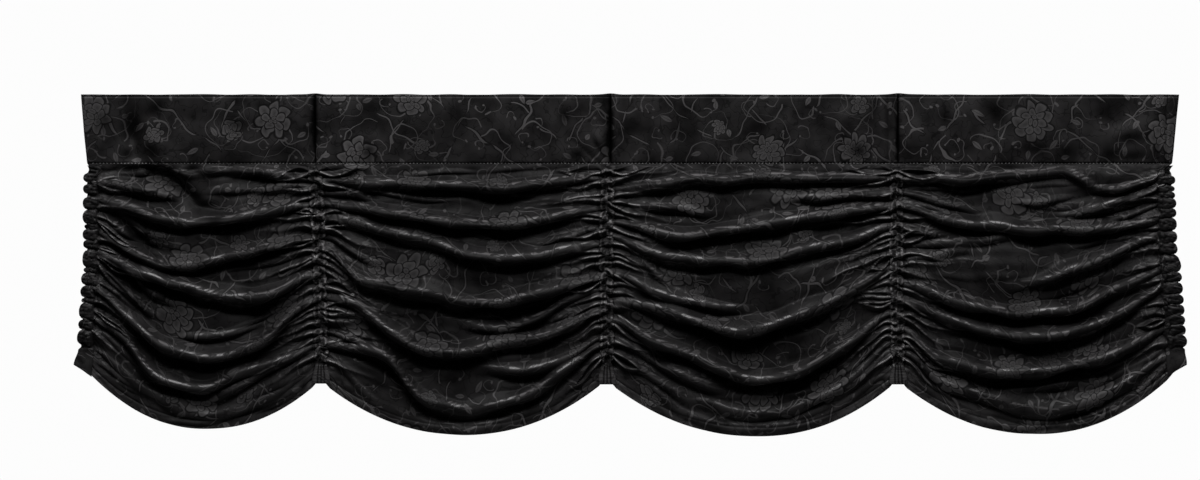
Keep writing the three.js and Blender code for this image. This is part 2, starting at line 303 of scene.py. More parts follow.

# Grooves along the heading's seams, darkened with painted shade, as half widths at drops, and the shares of
# them on the right panels
GROOVES = [
    [(0, 2.5), (8, 4.4), (50, 4.4), (66, 2), (80, 0.9)],
    [(0, 1.4), (14, 2.4), (30, 4.8), (62, 5.5), (80, 2.6)],
    [(0, 0.9), (18, 1.1), (32, 2.6), (58, 3.4), (80, 2.4)],
]
GROOVE_RIGHT_SHARES = [0.4, 1, 0.5]
GROOVE_DEPTH = 6.5

# Upright tucks of the heading, painted shade in its dents, and its soft waves: height, width, depth and seed
TUCKS = [321, 669]
TUCK_WIDTH = 1.5
DENT_SHADE = 0.3
HEADING_WAVES = [(2.5, 85, 100, 11), (0.6, 32, 40, 12)]

# Puckers below the stitch line of each panel
PUCKERS = [2.2, 0.9, 0.9, 1.2]

# Where each panel was cut from the patterned cloth
CLOTH_SHIFTS = [(0, 0), (37, 61), (-52, 128), (83, 24)]

# Fine pleats and loops that fan out of each seam, and fill the room between the creases there
PLEAT_TOP_DROP = 97
PLEAT_PITCH = (7, 11)
PLEAT_RISE = (4.2, 7.6)
PLEAT_FULLNESS = (0.24, 0.34)
PLEAT_EDGE = 0.55
PLEAT_LENGTH = (22, 76)
PLEAT_HOOK = 8
PLEAT_LEAN = 0.16
PLEAT_SNAP = 5
PLEAT_ROOM = 3
PLEAT_FOOT = 4
FAN_REACH = 200
PLEAT_SWAY = 1.3
LOOP_CHANCE = 0.17
LOOP_HALF_HEIGHT = (2.6, 8)
LOOP_LENGTH = (16, 58)
LOOP_RIDGE = 1.8
# Half width of the painted highlight along each pleat's crest
EDGE_WIDTH = 0.7
BOW_HALF_HEIGHT = 6.5
BOW_LENGTH = 48
GAP_DEPTH = 6
GAP_REACH = 26
LONG_FOLD = 110
# How gathered the rolls and the swag count; in the material the gathering also darkens the ground and dims
# the motif, partly as painted shade
ROLL_GATHERED = 0.6
SWAG_GATHERED = 0.4
# Painted light near the gathers, and the strength of the painted highlight along the pleats' crests at the
# sides and at the seams
PAINTED_LIGHT_NEAR_GATHERS = 0.45
SIDE_CREST = 1.1
SEAM_CREST = 1.9

# Gathered strips
STRIP_TOP_DROP = 89
TAB_HEIGHT = 24
TAB_LEAN = 4
TAB_ROUND = 1.4
TAB_STITCH = 0.7
STRIP_SEAT = 3.2
STRIP_LAYER = 0.85
KNOT_PITCH = (6.4, 9.6)
KNOT_RISE = (4.2, 6.4)
KNOT_HALF_WIDTH = (4.4, 6.6)
KNOT_PLACE = (2.5, 4.2)
# Strength of the painted highlight around each knot
KNOT_RIM = (1.5, 2.6)
SIDE_INNER = 10
SIDE_NOTCH = 5.5
SIDE_BULGE = 5.4
SIDE_TAB = 8.5
SIDE_FLARE = 3.5
LOOP_SLANT = 0.34
LOOP_RISE = 4.6
DOT_PLACES = [-0.55, -0.05, 0.5]

# Loops of the left and right strips, as drops and half heights, and how much wider they spread at drops
SIDE_LOOPS = [
    [(104, 5.2), (118, 5.6), (136, 7.4), (153, 8.4), (165, 2.8), (175, 6.8), (187, 5.2), (205, 10.5),
     (219, 3), (230, 7.4), (246, 6.8), (257, 3), (270, 9.6), (287, 5.8), (303, 9)],
    [(107, 5), (118, 3.4), (126, 4), (136, 6), (148, 5.6), (162, 7.4), (178, 7), (192, 6.8),
     (211, 10.5), (228, 6), (242, 7), (256, 6), (269, 6.5), (282, 6), (294, 6), (308, 7.5)],
]
SIDE_SPREADS = [[(89, 0), (345, 0)], [(89, 3), (190, 3), (215, 7), (315, 6), (345, 1.5)]]
STRIP_COLUMNS = 32
STRIP_ROW_STEP = 0.9
STRIP_FULLNESS = 1.7


def smooth(low, high, value):
    """Soft step from 0 at low to 1 at high."""
    part = np.clip((value - low) / (high - low), 0, 1)
    return part * part * (3 - 2 * part)


def bump(value, width):
    """Bell of height 1 at 0 that has faded at about twice the width."""
    return np.exp(-((value / width) ** 2))


def ripples(first, second, seed, waves=10):
    """Smooth unevenness from about -1 to 1 over two coordinates, with about one swing for each unit."""
    pick = random.Random(seed)
    total = np.zeros(np.broadcast(first, second).shape)
    for wave in range(waves):
        turn = pick.uniform(0, math.tau)
        pace = pick.uniform(0.5, 1.6) * math.tau
        start = pick.uniform(0, math.tau)
        total = total + np.sin(pace * (first * math.cos(turn) + second * math.sin(turn)) + start)
    return total / math.sqrt(waves)


def higher(first, second, softness):
    """The greater of two heights, rounded where they meet."""
    return softness * np.logaddexp(first / softness, second / softness)


def line_at(line, drop):
    """Place across of a seam or side line at a drop."""
    return np.interp(drop, LINE_DROPS + [line.foot_drop], line.places)


def hem_drop(hem, share):
    """Drop of a panel's hem at a share of its width."""
    on_left = share < hem.low_at
    away = np.where(on_left, (hem.low_at - share) / hem.low_at, (share - hem.low_at) / (1 - hem.low_at))
    return hem.low + (np.where(on_left, hem.left, hem.right) - hem.low) * away ** HEM_POWER


def softened(values, width):
    """A row of values smoothed with a bell of that many steps."""
    reach = int(3 * width)
    bell = bump(np.arange(-reach, reach + 1), width)
    padded = np.pad(values, reach, mode="reflect", reflect_type="odd")
    return np.convolve(padded, bell / bell.sum(), mode="valid")


def through(places, drops, at):
    """Drops along a smooth curve through a crease's points."""
    slopes = np.gradient(drops, places)
    part = np.clip(np.searchsorted(places, at) - 1, 0, len(places) - 2)
    span = places[part + 1] - places[part]
    way = np.clip((at - places[part]) / span, 0, 1)
    begin = drops[part] * (1 + 2 * way) + slopes[part] * span * way
    end = drops[part + 1] * (3 - 2 * way) - slopes[part + 1] * span * (1 - way)
    return begin * (1 - way) ** 2 + end * way ** 2


class Panel:
    """One panel: its lines, the shares of its width at its mesh columns, and its hem there."""

    def __init__(self, number, shares=None):
        self.number = number
        self.left, self.right = LINES[number], LINES[number + 1]
        at_side = number == 0, number == LAST_PANEL
        self.left_half, self.right_half = (SIDE_HALF_WIDTH if side else SEAM_HALF_WIDTH for side in at_side)
        self.left_core, self.right_core = (SIDE_CORE if side else CORE_HALF_WIDTH for side in at_side)
        self.width = self.right.places[0] - self.left.places[0]
        self.shares = column_shares(self.width) if shares is None else shares
        from_left, from_right = self.shares * self.width, (1 - self.shares) * self.width
        between_strips = self.width - self.left_half - self.right_half
        inner = np.clip((from_left - self.left_half) / between_strips, 0, 1)
        beside = np.minimum(from_left / self.left_half, from_right / self.right_half)
        self.hems = hem_drop(HEMS[number], inner) - STRIP_TUCK * (1 - np.clip(beside, 0, 1))

    def across(self, drop):
        """Places across of the columns at their drops."""
        begin = line_at(self.left, drop)
        return begin + (line_at(self.right, drop) - begin) * self.shares[:, None]

    def clear(self, across, drop):
        """Distance across from where the cloth is drawn together at the nearer seam or side."""
        from_left = across - line_at(self.left, drop) - self.left_core
        from_right = line_at(self.right, drop) - self.right_core - across
        return np.maximum(0, np.minimum(from_left, from_right))

    def path(self, points):
        """A crease's path as shares of the width, and its drops."""
        places, drops = np.array(points, float).T
        begin = line_at(self.left, drops)
        return (places - begin) / (line_at(self.right, drops) - begin), drops

    def fold_ends(self, side):
        """Drops at which its creases meet its left (0) or right (1) line."""
        ends = []
        for fold in FOLDS[self.number]:
            shares, drops = self.path(fold.path)
            if side == 0 and shares[0] < SEAM_SHARE:
                ends.append(drops[0])
            if side == 1 and shares[-1] > 1 - SEAM_SHARE:
                ends.append(drops[-1])
        return ends


def column_shares(width):
    """Places of a panel's mesh columns as shares of its width, closer together near its seams."""
    fine = np.linspace(0, width, COLUMN_STEPS)
    from_edge = np.minimum(fine, width - fine)
    step = EDGE_STEP + (MIDDLE_STEP - EDGE_STEP) * smooth(*FINE_EDGE, from_edge)
    count = np.concatenate([[0], np.cumsum((fine[1] - fine[0]) / step[1:])])
    return np.interp(np.linspace(0, count[-1], int(count[-1]) + 1), count, fine / width)


def pleat_drops(seam, side):
    """Drops of the pleats on the left (0) or right (1) of a seam or side line."""
    if seam in SIDES:
        return [drop for drop, half in SIDE_LOOPS[SIDES.index(seam)]]
    pick = random.Random(PLEAT_SEED + 10 * seam + side)
    ends = Panel(seam - 1 + side).fold_ends(1 - side)
    bottom = LINES[seam].foot_drop - TAB_HEIGHT - PLEAT_FOOT
    found = []
    at = PLEAT_TOP_DROP
    while at < bottom:
        near = [drop for drop in ends if abs(drop - at) < PLEAT_SNAP]
        found.append(near[0] if near else at)
        at = found[-1] + pick.uniform(*PLEAT_PITCH)
    return found


def roll_section(below, tube, ramp, under, leaning):
    """Section of a roll over the distance below its crest."""
    lean = leaning * np.clip(1 + below / ramp, 0, 1) ** LEAN_POWER
    over = higher(1 - (below / tube) ** 2, lean, TURN_SOFTNESS)
    beneath = higher(1 - (below / under) ** 2, 0, TURN_SOFTNESS)
    return np.where(below < 0, over, beneath)


def minor_folds(panel, guides, drop):
    """Low short folds in the room between the main ones: how far each rises, and the hollow under it."""
    pick = random.Random(MINOR_SEED + panel.number)
    ranked = sorted(guides, key=np.mean)
    for order in range(MINOR_FOLDS):
        upper = pick.randrange(len(ranked) - 1)
        part, slope = pick.uniform(0.2, 0.85), pick.uniform(-0.1, 0.1)
        middle, half = pick.uniform(0.12, 0.88), pick.uniform(*MINOR_HALF_LENGTH) / panel.width
        rise, tube = pick.uniform(*MINOR_RISE), pick.uniform(*MINOR_TUBE)
        room = ranked[upper + 1] - ranked[upper]
        aside = (panel.shares - middle) / half
        shown = np.clip(1 - aside ** 2, 0, 1) * smooth(*MINOR_ROOM, room)
        sag = ranked[upper] + room * part + slope * aside * half * panel.width
        below = drop - (sag + 1.5 * np.sin(3 * aside + order))[:, None]
        width = tube * (0.5 + 0.5 * shown[:, None])
        section = roll_section(below, width, 2 * width, 0.6 * width, 0.2)
        pressed = bump(below - 0.8 * width, 0.5 * width)
        yield rise * shown[:, None] * section, 0.4 * rise * shown[:, None] * pressed


def panel_folds(panel, across, drop, clear):
    """How far a panel's folds stand forward over its columns and drops, without the belly, and how much
    painted
    light lies on them: painted highlight along crests and near the gathers, painted shade where negative."""
    number, shares = panel.number, panel.shares
    grown = 1 - 0.6 * np.exp(-clear / SEAM_REACH)
    drawn_in = smooth(0, DRAWN_IN, clear.max(axis=1))
    slim = 0.5 + 0.5 * drawn_in
    rolls, hollows, edges, valleys, sunk = np.zeros((5, *drop.shape))
    guides = [np.full(shares.shape, float(STITCH_DROP)), panel.hems]
    fine = np.linspace(0, 1, PATH_STEPS)
    for order, fold in enumerate(FOLDS[number]):
        waves = [ripples(shares * pace, start, seed * number + order) for pace, start, seed in FOLD_WAVES]
        sag_wave, rise_wave, tube_wave, under_wave = waves
        places, drops = panel.path(fold.path)
        begin, end = places[0], places[-1]
        sag = np.interp(shares, fine, softened(through(places, drops, fine), PATH_SOFTENING))
        sag = sag + SAG_SWAY * sag_wave * drawn_in
        if (end - begin) * panel.width > LONG_FOLD:
            guides.append(sag)
        shown = np.ones(shares.shape)
        fade = FOLD_END * (0.6 + abs(fold.rise) / 10) / panel.width
        if begin > SEAM_SHARE:
            shown = shown * smooth(begin - fade, begin + fade, shares)
        if end < 1 - SEAM_SHARE:
            shown = shown * smooth(end + fade, end - fade, shares)
        own = random.Random(FOLD_SEED * number + order)
        leaning, fullest = own.uniform(*LEAN_LEVEL), own.uniform(0.4, 0.6)
        along = np.clip((shares - begin) / (end - begin), 0, 1)
        lens = np.sin(math.pi * along ** (math.log(0.5) / math.log(fullest))) ** 0.7
        height = RISE_SHARE * abs(fold.rise)
        rise = height * shown * (1 + 0.22 * rise_wave) * (0.45 + 0.55 * drawn_in) * (0.55 + 0.55 * lens)
        rise = rise * (0.35 + 0.65 * smooth(*HEM_FADE, panel.hems - sag))
        below = drop - (sag - RIDGE_SHIFT * rise)[:, None]
        if fold.rise < 0:
            wide = fold.above + (fold.under - fold.above) * along
            crooked = below - VALLEY_CROOK * ripples(across / 22, drop / 30, VALLEY_SEED)
            valley = shown[:, None] * bump(crooked, wide[:, None])
            valleys = np.maximum(valleys, valley)
            sunk = np.maximum(sunk, height * valley)
            continue
        fuller = slim * (1 + 0.24 * tube_wave) * (0.8 + 0.25 * lens) * (0.55 + 0.45 * shown)
        under = (UNDER_SHARE * fold.under * slim * (1 + 0.2 * under_wave))[:, None]
        ramp = (RAMP_SHARE * fold.above * fuller)[:, None]
        tube = (TUBE_SHARE * fold.above * fuller)[:, None]
        section = roll_section(below, tube, ramp, under, leaning)
        rolls = rolls + (rise[:, None] * section * grown) ** MEETING_POWER
        # Painted highlight along the roll, a little above its crest
        lit = bump(below + CREST_LIFT, CREST_WIDTH) * np.clip(rise / CREST_RISE, 0, 1)[:, None]
        edges = np.maximum(edges, CREST_SHARE * lit)
        pressed = bump(below - TROUGH_WIDTHS * under, TROUGH_SPREAD * under)
        hollows = hollows + TROUGH_SHARE * rise[:, None] * pressed * grown
    for height, hollow in minor_folds(panel, guides, drop):
        rolls = rolls + height ** MEETING_POWER
        hollows = hollows + hollow
    total = rolls ** (1 / MEETING_POWER)
    for pillow in PILLOWS[number]:
        aside = (across - pillow.across) / pillow.half_width
        away = (drop - pillow.drop) / pillow.half_height
        total = total + pillow.rise * np.exp(-(aside ** 2) - away ** 2)
    for side in range(2):
        ridges, gaps, crests = seam_pleats(panel, side, np.array(guides), drop, clear)
        # Painted highlight along the pleats' crests, stronger at the seams than at the sides
        edges = np.maximum(edges, (SIDE_CREST if number + side in SIDES else SEAM_CREST) * crests)
        hollows = hollows * np.exp(-ridges / 3) + gaps * np.exp(-(ridges + total) / 2.5)
        total = total + ridges * np.exp(-total / 14)
    hollows = hollows * np.exp(-total / 5)
    total = (total - hollows) * (1 - 0.9 * valleys) - sunk
    # Painted light on the cloth near the gathers, a little below the stitch line
    edges = edges + PAINTED_LIGHT_NEAR_GATHERS * np.exp(-clear / 16) * smooth(STITCH_DROP + 6, STITCH_DROP + 14, drop)
    # Painted shade in the hollows under the rolls, then in the valleys, where no painted highlight is left
    edges = edges - TROUGH_SHADE * smooth(1, 6, hollows) * (1 - np.clip(2 * edges, 0, 1))
    edges = edges * (1 - valleys) - VALLEY_SHADE * valleys
    level, room = MOST_FORWARD
    return np.where(total > level, level + room * np.tanh((total - level) / room), total), edges


def seam_pleats(panel, side, guides, drop, clear):
    """Fine pleats and loops that fan out of a panel's left (0) or right (1) seam between its creases, how
    deep the gaps between them are, and how much painted highlight lies along their crests."""
    seam, own_seed = panel.number + side, 2 * panel.number + side
    pick = random.Random(FAN_SEED + own_seed)
    at_seam = guides[:, -side]
    ranks = np.argsort(at_seam)
    guides, at_seam = guides[ranks], at_seam[ranks]
    near = np.flatnonzero((panel.shares < 0.5) if side == 0 else (panel.shares >= 0.5))
    away, drop_near = np.minimum(clear[near], FAN_REACH), drop[near]
    made, painted_highlight = np.zeros((2, *drop_near.shape))
    ends = panel.fold_ends(side)
    swayed = PLEAT_SWAY * ripples(away / 60, drop_near / 60, SWAY_SEED + own_seed) * smooth(0, 14, away)
    middles = pleat_drops(seam, 1 - side)
    for order, (middle, space) in enumerate(zip(middles, np.gradient(np.array(middles, float)))):
        rise, fullness = pick.uniform(*PLEAT_RISE), pick.uniform(*PLEAT_FULLNESS)
        length, lean = pick.uniform(*PLEAT_LENGTH), pick.uniform(-PLEAT_LEAN, PLEAT_LEAN)
        looped = pick.random() < LOOP_CHANCE * (0.5 if seam in SIDES else 1)
        half_height = pick.uniform(*LOOP_HALF_HEIGHT) * (0.6 if seam in SIDES else 1)
        loop_length, phase = pick.uniform(*LOOP_LENGTH), pick.uniform(0, math.tau)
        hook = pick.uniform(-PLEAT_HOOK, PLEAT_HOOK)
        if order == 0 and seam not in SIDES:
            looped, half_height, loop_length, hook = True, BOW_HALF_HEIGHT, BOW_LENGTH, 0
        elif any(abs(middle - end) < PLEAT_ROOM for end in ends):
            continue
        upper = int(np.clip(np.searchsorted(at_seam, middle) - 1, 0, len(guides) - 2))
        part = (middle - at_seam[upper]) / max(at_seam[upper + 1] - at_seam[upper], 1)
        sag = (guides[upper] + (guides[upper + 1] - guides[upper]) * part)[near, None]
        wander = lean * away + 1.1 * np.sin(away / 8 + phase) * smooth(0, 20, away) + hook * np.exp(-away / 8)
        below = drop_near - sag - wander - swayed + 0.3 * rise
        started = 1 - np.exp(-(away + 2.5) / 3)
        if looped:
            half = half_height * np.sin(math.pi * np.clip(away / loop_length, 0, 1)) ** 0.8
            off, spread = np.abs(below) - half, LOOP_RIDGE
            fading = 1 - smooth(loop_length - 4, loop_length + 14, away)
        else:
            off, spread = below, fullness * space * (1 + away / 70)
            fading = np.exp(-((away / length) ** 1.6))
        edge = np.sqrt(off ** 2 + PLEAT_EDGE ** 2) - PLEAT_EDGE
        ridge = np.exp(-edge / np.where(off < 0, spread, 0.65 * spread))
        made = made + (rise * ridge * fading * started) ** MEETING_POWER
        # Painted highlight along the pleat's crest
        painted_highlight = np.maximum(painted_highlight, bump(off + 0.4, EDGE_WIDTH) * fading)
    foot = LINES[seam].foot_drop - TAB_HEIGHT
    within = smooth(PLEAT_TOP_DROP - 6, PLEAT_TOP_DROP + 2, drop_near)
    within = within * (1 - smooth(foot - 6, foot + 8, drop_near))
    ridges, gaps, crests = np.zeros((3, *drop.shape))
    ridges[near] = made ** (1 / MEETING_POWER)
    gaps[near] = GAP_DEPTH * np.exp(-away / GAP_REACH) * within
    crests[near] = painted_highlight * within
    return ridges, gaps, crests


def groove_width(seam, drop):
    """Half width of the dark groove along a seam of the heading."""
    drops, halves = zip(*GROOVES[seam - 1])
    return np.interp(drop, drops, halves) * (1 + 0.22 * ripples(drop / 17, 0.0, GROOVE_SEED + seam))


def heading_form(panel, across, drop):
    """How far the heading's front layer stands back from its plane in soft waves, dents, seams and edges, and
    how much painted shade lies in them."""
    part = np.clip(np.sin(math.pi * np.clip(drop / STITCH_DROP, 0, 1)), 0, 1)
    waves, dents = np.zeros((2, *np.broadcast(across, drop).shape))
    for height, width, depth, seed in HEADING_WAVES:
        waves = waves + height * ripples(across / width, drop / depth, seed) * part
    # Painted shade: a band along the right end, the stitch line, one flank of each dent or swell, the tucks
    # and the seam grooves
    right_end = LINES[-1].places[0]
    shade = 0.4 * smooth(right_end - 20, right_end - 6, across)
    shade = np.maximum(shade, 0.8 * bump(drop - STITCH_DROP, 0.9))
    for dent in DENTS:
        aside = across - dent.across - dent.lean * (drop - dent.drop)
        pressed = bump(aside, dent.half_width) * bump(drop - dent.drop, dent.half_height)
        dents = dents + dent.depth * pressed * part ** 0.4
        place = dent.drop - 0.7 * dent.half_height * np.sign(dent.depth)
        dark = bump(aside, 0.9 * dent.half_width) * bump(drop - place, 0.7 * dent.half_height)
        shade = np.maximum(shade, min(0.8, DENT_SHADE * abs(dent.depth)) * dark)
    for tuck in TUCKS:
        pressed = bump(across - tuck, TUCK_WIDTH)
        dents = dents + 1.6 * pressed * part ** 0.4
        shade = np.maximum(shade, 0.7 * pressed)
    groove = 0.8 * bump(drop - 2.8, 1.1) + STITCH_GROOVE * bump(drop - STITCH_DROP, 1.1)
    if panel.number < LAST_PANEL:
        inside = line_at(panel.right, drop) - across
        half = groove_width(panel.number + 1, drop)
        groove = groove + (GROOVE_DEPTH * bump(inside, 0.8 * half) + 1.6 * bump(inside, 13)) * part ** 0.6
        shade = np.maximum(shade, bump(inside, half) + 0.4 * bump(inside, 12))
    if panel.number > 0:
        inside = across - line_at(panel.left, drop)
        half = GROOVE_RIGHT_SHARES[panel.number - 1] * groove_width(panel.number, drop)
        groove = groove + (GROOVE_DEPTH * bump(inside, 2.2) - 1.4 * bump(inside - 7, 6)) * part ** 0.6
        shade = np.maximum(shade, bump(inside, half))
    return waves + dents + groove, np.minimum(shade, 1)


def heading_layers(panel):
    """The heading's front layer from the top edge down, its fold over the top, its back layer, and the
    painted shade on the front."""
    drop = np.concatenate([np.linspace(*run) for run in HEADING_ROWS])[None, :]
    part = np.sin(math.pi * drop / STITCH_DROP) ** POCKET_FULLNESS
    across = panel.across(drop)
    relief, shade = heading_form(panel, across, drop)
    forward = LAYER + POCKET_SWELL_FRONT * part - relief
    front = np.stack(np.broadcast_arrays(across, -forward, -drop), axis=-1)

    turn = np.linspace(0, math.pi, TOP_ROWS + 2)[1:-1]
    across = front[:, :1, 0] + 0 * turn
    uneven = 0.35 * ripples(across / 60, 0.0, TOP_SEED) - 0.2
    for line in LINES[1:-1]:
        uneven = uneven + SEAM_PEAK * bump(across - line.places[0], 9)
    top = np.stack([across, LAYER * np.cos(turn) + 0 * across, -0.6 + 0.5 * np.sin(turn) + uneven], axis=-1)

    drop = np.linspace(STITCH_DROP + 1.5, 1.2, BACK_ROWS)[None, :]
    part = np.sin(math.pi * np.clip(drop / STITCH_DROP, 0, 1)) ** POCKET_FULLNESS
    across = panel.across(drop)
    slack = 0.8 * ripples(across / 90, drop / 120, BACK_SEED + panel.number) * part
    back = np.stack(np.broadcast_arrays(across, LAYER + POCKET_SWELL_BACK * part + slack, -drop), axis=-1)
    return front, top, back, shade


def swag_relief(panel, drop):
    """Over drops of a panel's columns: places across, how far forward the swag stands, how far of that is
    folds, and how much painted highlight or painted shade lies on it."""
    across = panel.across(drop)
    clear = panel.clear(across, drop)
    settle = smooth(STITCH_DROP, STITCH_DROP + SETTLE, drop)
    folded, edges = panel_folds(panel, across, drop, clear)
    folded = folded * settle
    below = drop - STITCH_DROP
    middle = np.clip(1 - np.abs(2 * panel.shares[:, None] - 1), 0, 1)
    belly = BELLY * np.sin(math.pi / 2 * middle) * smooth(6, BELLY_END_DROP - STITCH_DROP, below)
    level = below / (panel.hems[:, None] - STITCH_DROP)
    wrinkles = WRINKLE * ripples(across / 60, level * 14, WRINKLE_SEED + panel.number)
    wrinkles = wrinkles * (1 - np.exp(-clear / 20))
    crumple = CRUMPLE * ripples(across / 14, drop / 7, CRUMPLE_SEED + panel.number) * np.exp(-clear / 16)
    pucker = PUCKERS[panel.number] * ripples(across / 24, drop / 45, PUCKER_SEED + panel.number)
    pucker = pucker * bump(below - 7, 8)
    edge = panel.hems[:, None] - drop
    hemmed = HEM_GROOVE * bump(edge - HEM_DEPTH, 1.3) - HEM_RISE * smooth(HEM_DEPTH, 2, edge)
    groove = STITCH_GROOVE * np.exp(-below / 4)
    # Painted light on the band along the hem, strongest near the seams
    edges = edges + HEM_PAINTED_LIGHT * smooth(HEM_DEPTH + 2, 3, edge) * np.exp(-clear / 45)
    forward = LAYER + belly + folded + (wrinkles + crumple + pucker) * settle - hemmed - groove
    return across, forward, folded, edges * settle


def swag_layer(panel):
    """The panel's swag from the stitch line down to the hem, the mean length of its cloth, its painted
    highlight and shade, and how high its folds are."""
    steps = np.linspace(0, 1, PROFILE_STEPS)
    drop = STITCH_DROP + (panel.hems[:, None] - STITCH_DROP) * steps
    across, forward, folded, edges = swag_relief(panel, drop)
    section = np.stack([across, -forward, -drop - DROOP * folded], axis=-1)
    length = np.zeros(drop.shape)
    length[:, 1:] = np.cumsum(np.linalg.norm(np.diff(section[:, :, 1:], axis=1), axis=-1), axis=1)
    measure = length + 5 * (1 - np.exp(-(drop - STITCH_DROP) / 2.5))
    rows = np.stack([np.interp(np.linspace(0, along[-1], SWAG_ROWS), along, steps) for along in measure])
    for row in range(1, SWAG_ROWS - 1):
        rows[:, row] = softened(rows[:, row], ROW_SOFTENING)

    def at_rows(values):
        """Values over the steps, read at the mesh rows."""
        return np.stack([np.interp(row, steps, value) for row, value in zip(rows, values)])

    swag = np.stack([at_rows(section[:, :, axis]) for axis in range(3)], axis=-1)
    return swag, float(length[:, -1].mean()), at_rows(edges), at_rows(folded)


def panel_surface(panel):
    """Grid of a panel's points, from the hem up over the heading to the end of its back layer, the places of
    the same points on the flat cloth, how gathered the cloth is there, and its painted highlight or shade."""
    front, top, back, shade = heading_layers(panel)
    swag, length, swag_edges, swag_folded = swag_layer(panel)
    whole = np.concatenate([back, top[:, ::-1], front, swag], axis=1)
    down = np.concatenate([
        np.linspace(-STITCH_DROP, -1, back.shape[1]), np.linspace(-0.8, 0.8, top.shape[1]),
        -front[0, :, 2], STITCH_DROP + np.linspace(0, length, SWAG_ROWS)])
    whole = whole[:, ::-1].transpose(1, 0, 2)
    across, drop = whole[:, :, 0], -whole[:, :, 2]
    shift = CLOTH_SHIFTS[panel.number]
    flat = np.stack([across + shift[0], 0 * across - down[::-1, None] + shift[1]], axis=-1)
    begin, end = line_at(panel.left, drop), line_at(panel.right, drop)
    beside = np.minimum(across - begin - panel.left_half, end - panel.right_half - across)
    above = np.zeros((back.shape[1] + top.shape[1], len(panel.shares)))
    plain = np.zeros((len(above) + front.shape[1], len(panel.shares)))
    rolled = np.concatenate([smooth(1, 11, swag_folded).T[::-1], plain])
    # The gathering also darkens the ground and dims the motif: partly painted shade on the rolls and the
    # swag, less of it near the hem
    gathered = np.maximum(np.exp(-np.maximum(beside, 0) / 26), ROLL_GATHERED * rolled)
    gathered = np.maximum(gathered, SWAG_GATHERED * (0.3 + 0.7 * smooth(15, 60, panel.hems - drop)))
    gathered = gathered * smooth(STITCH_DROP - 2, STITCH_DROP + 8, drop)
    # Painted highlight and shade: the swag's, then the heading's painted shade as negative values, none on
    # the back
    painted_light_shade = np.concatenate([swag_edges.T[::-1], -shade.T[::-1], above])
    return whole, flat, gathered, painted_light_shade


def strip_grid(line):
    """Drops of a strip's mesh rows from its foot up, and how far left (-1) or right (1) its columns are."""
    rows = int((line.foot_drop - STRIP_TOP_DROP) / STRIP_ROW_STEP) + 1
    drop = np.linspace(line.foot_drop, STRIP_TOP_DROP, rows)[:, None]
    return drop, np.linspace(-1, 1, STRIP_COLUMNS)[None, :]


def relief_under(number, end, half, drop, reach):
    """What lies under a strip at a panel's left (0) or right (1) end: how far forward the panel stands, how
    far of that is folds, and its painted highlight and shade."""
    shares = end + reach[0] * half / Panel(number).width
    drops = np.broadcast_to(drop[:, 0], (STRIP_COLUMNS, len(drop)))
    return [layer.T for layer in swag_relief(Panel(number, shares), drops)[1:]]


def strip_sheet(line, across, forward, down, cloth_across):
    """A strip's points, and their places on the flat cloth."""
    points = np.stack(np.broadcast_arrays(across, -forward, -down), axis=-1)
    along = np.linspace(0, STRIP_FULLNESS * (line.foot_drop - STRIP_TOP_DROP), len(points))[:, None]
    return points, np.stack(np.broadcast_arrays(cloth_across, along), axis=-1)


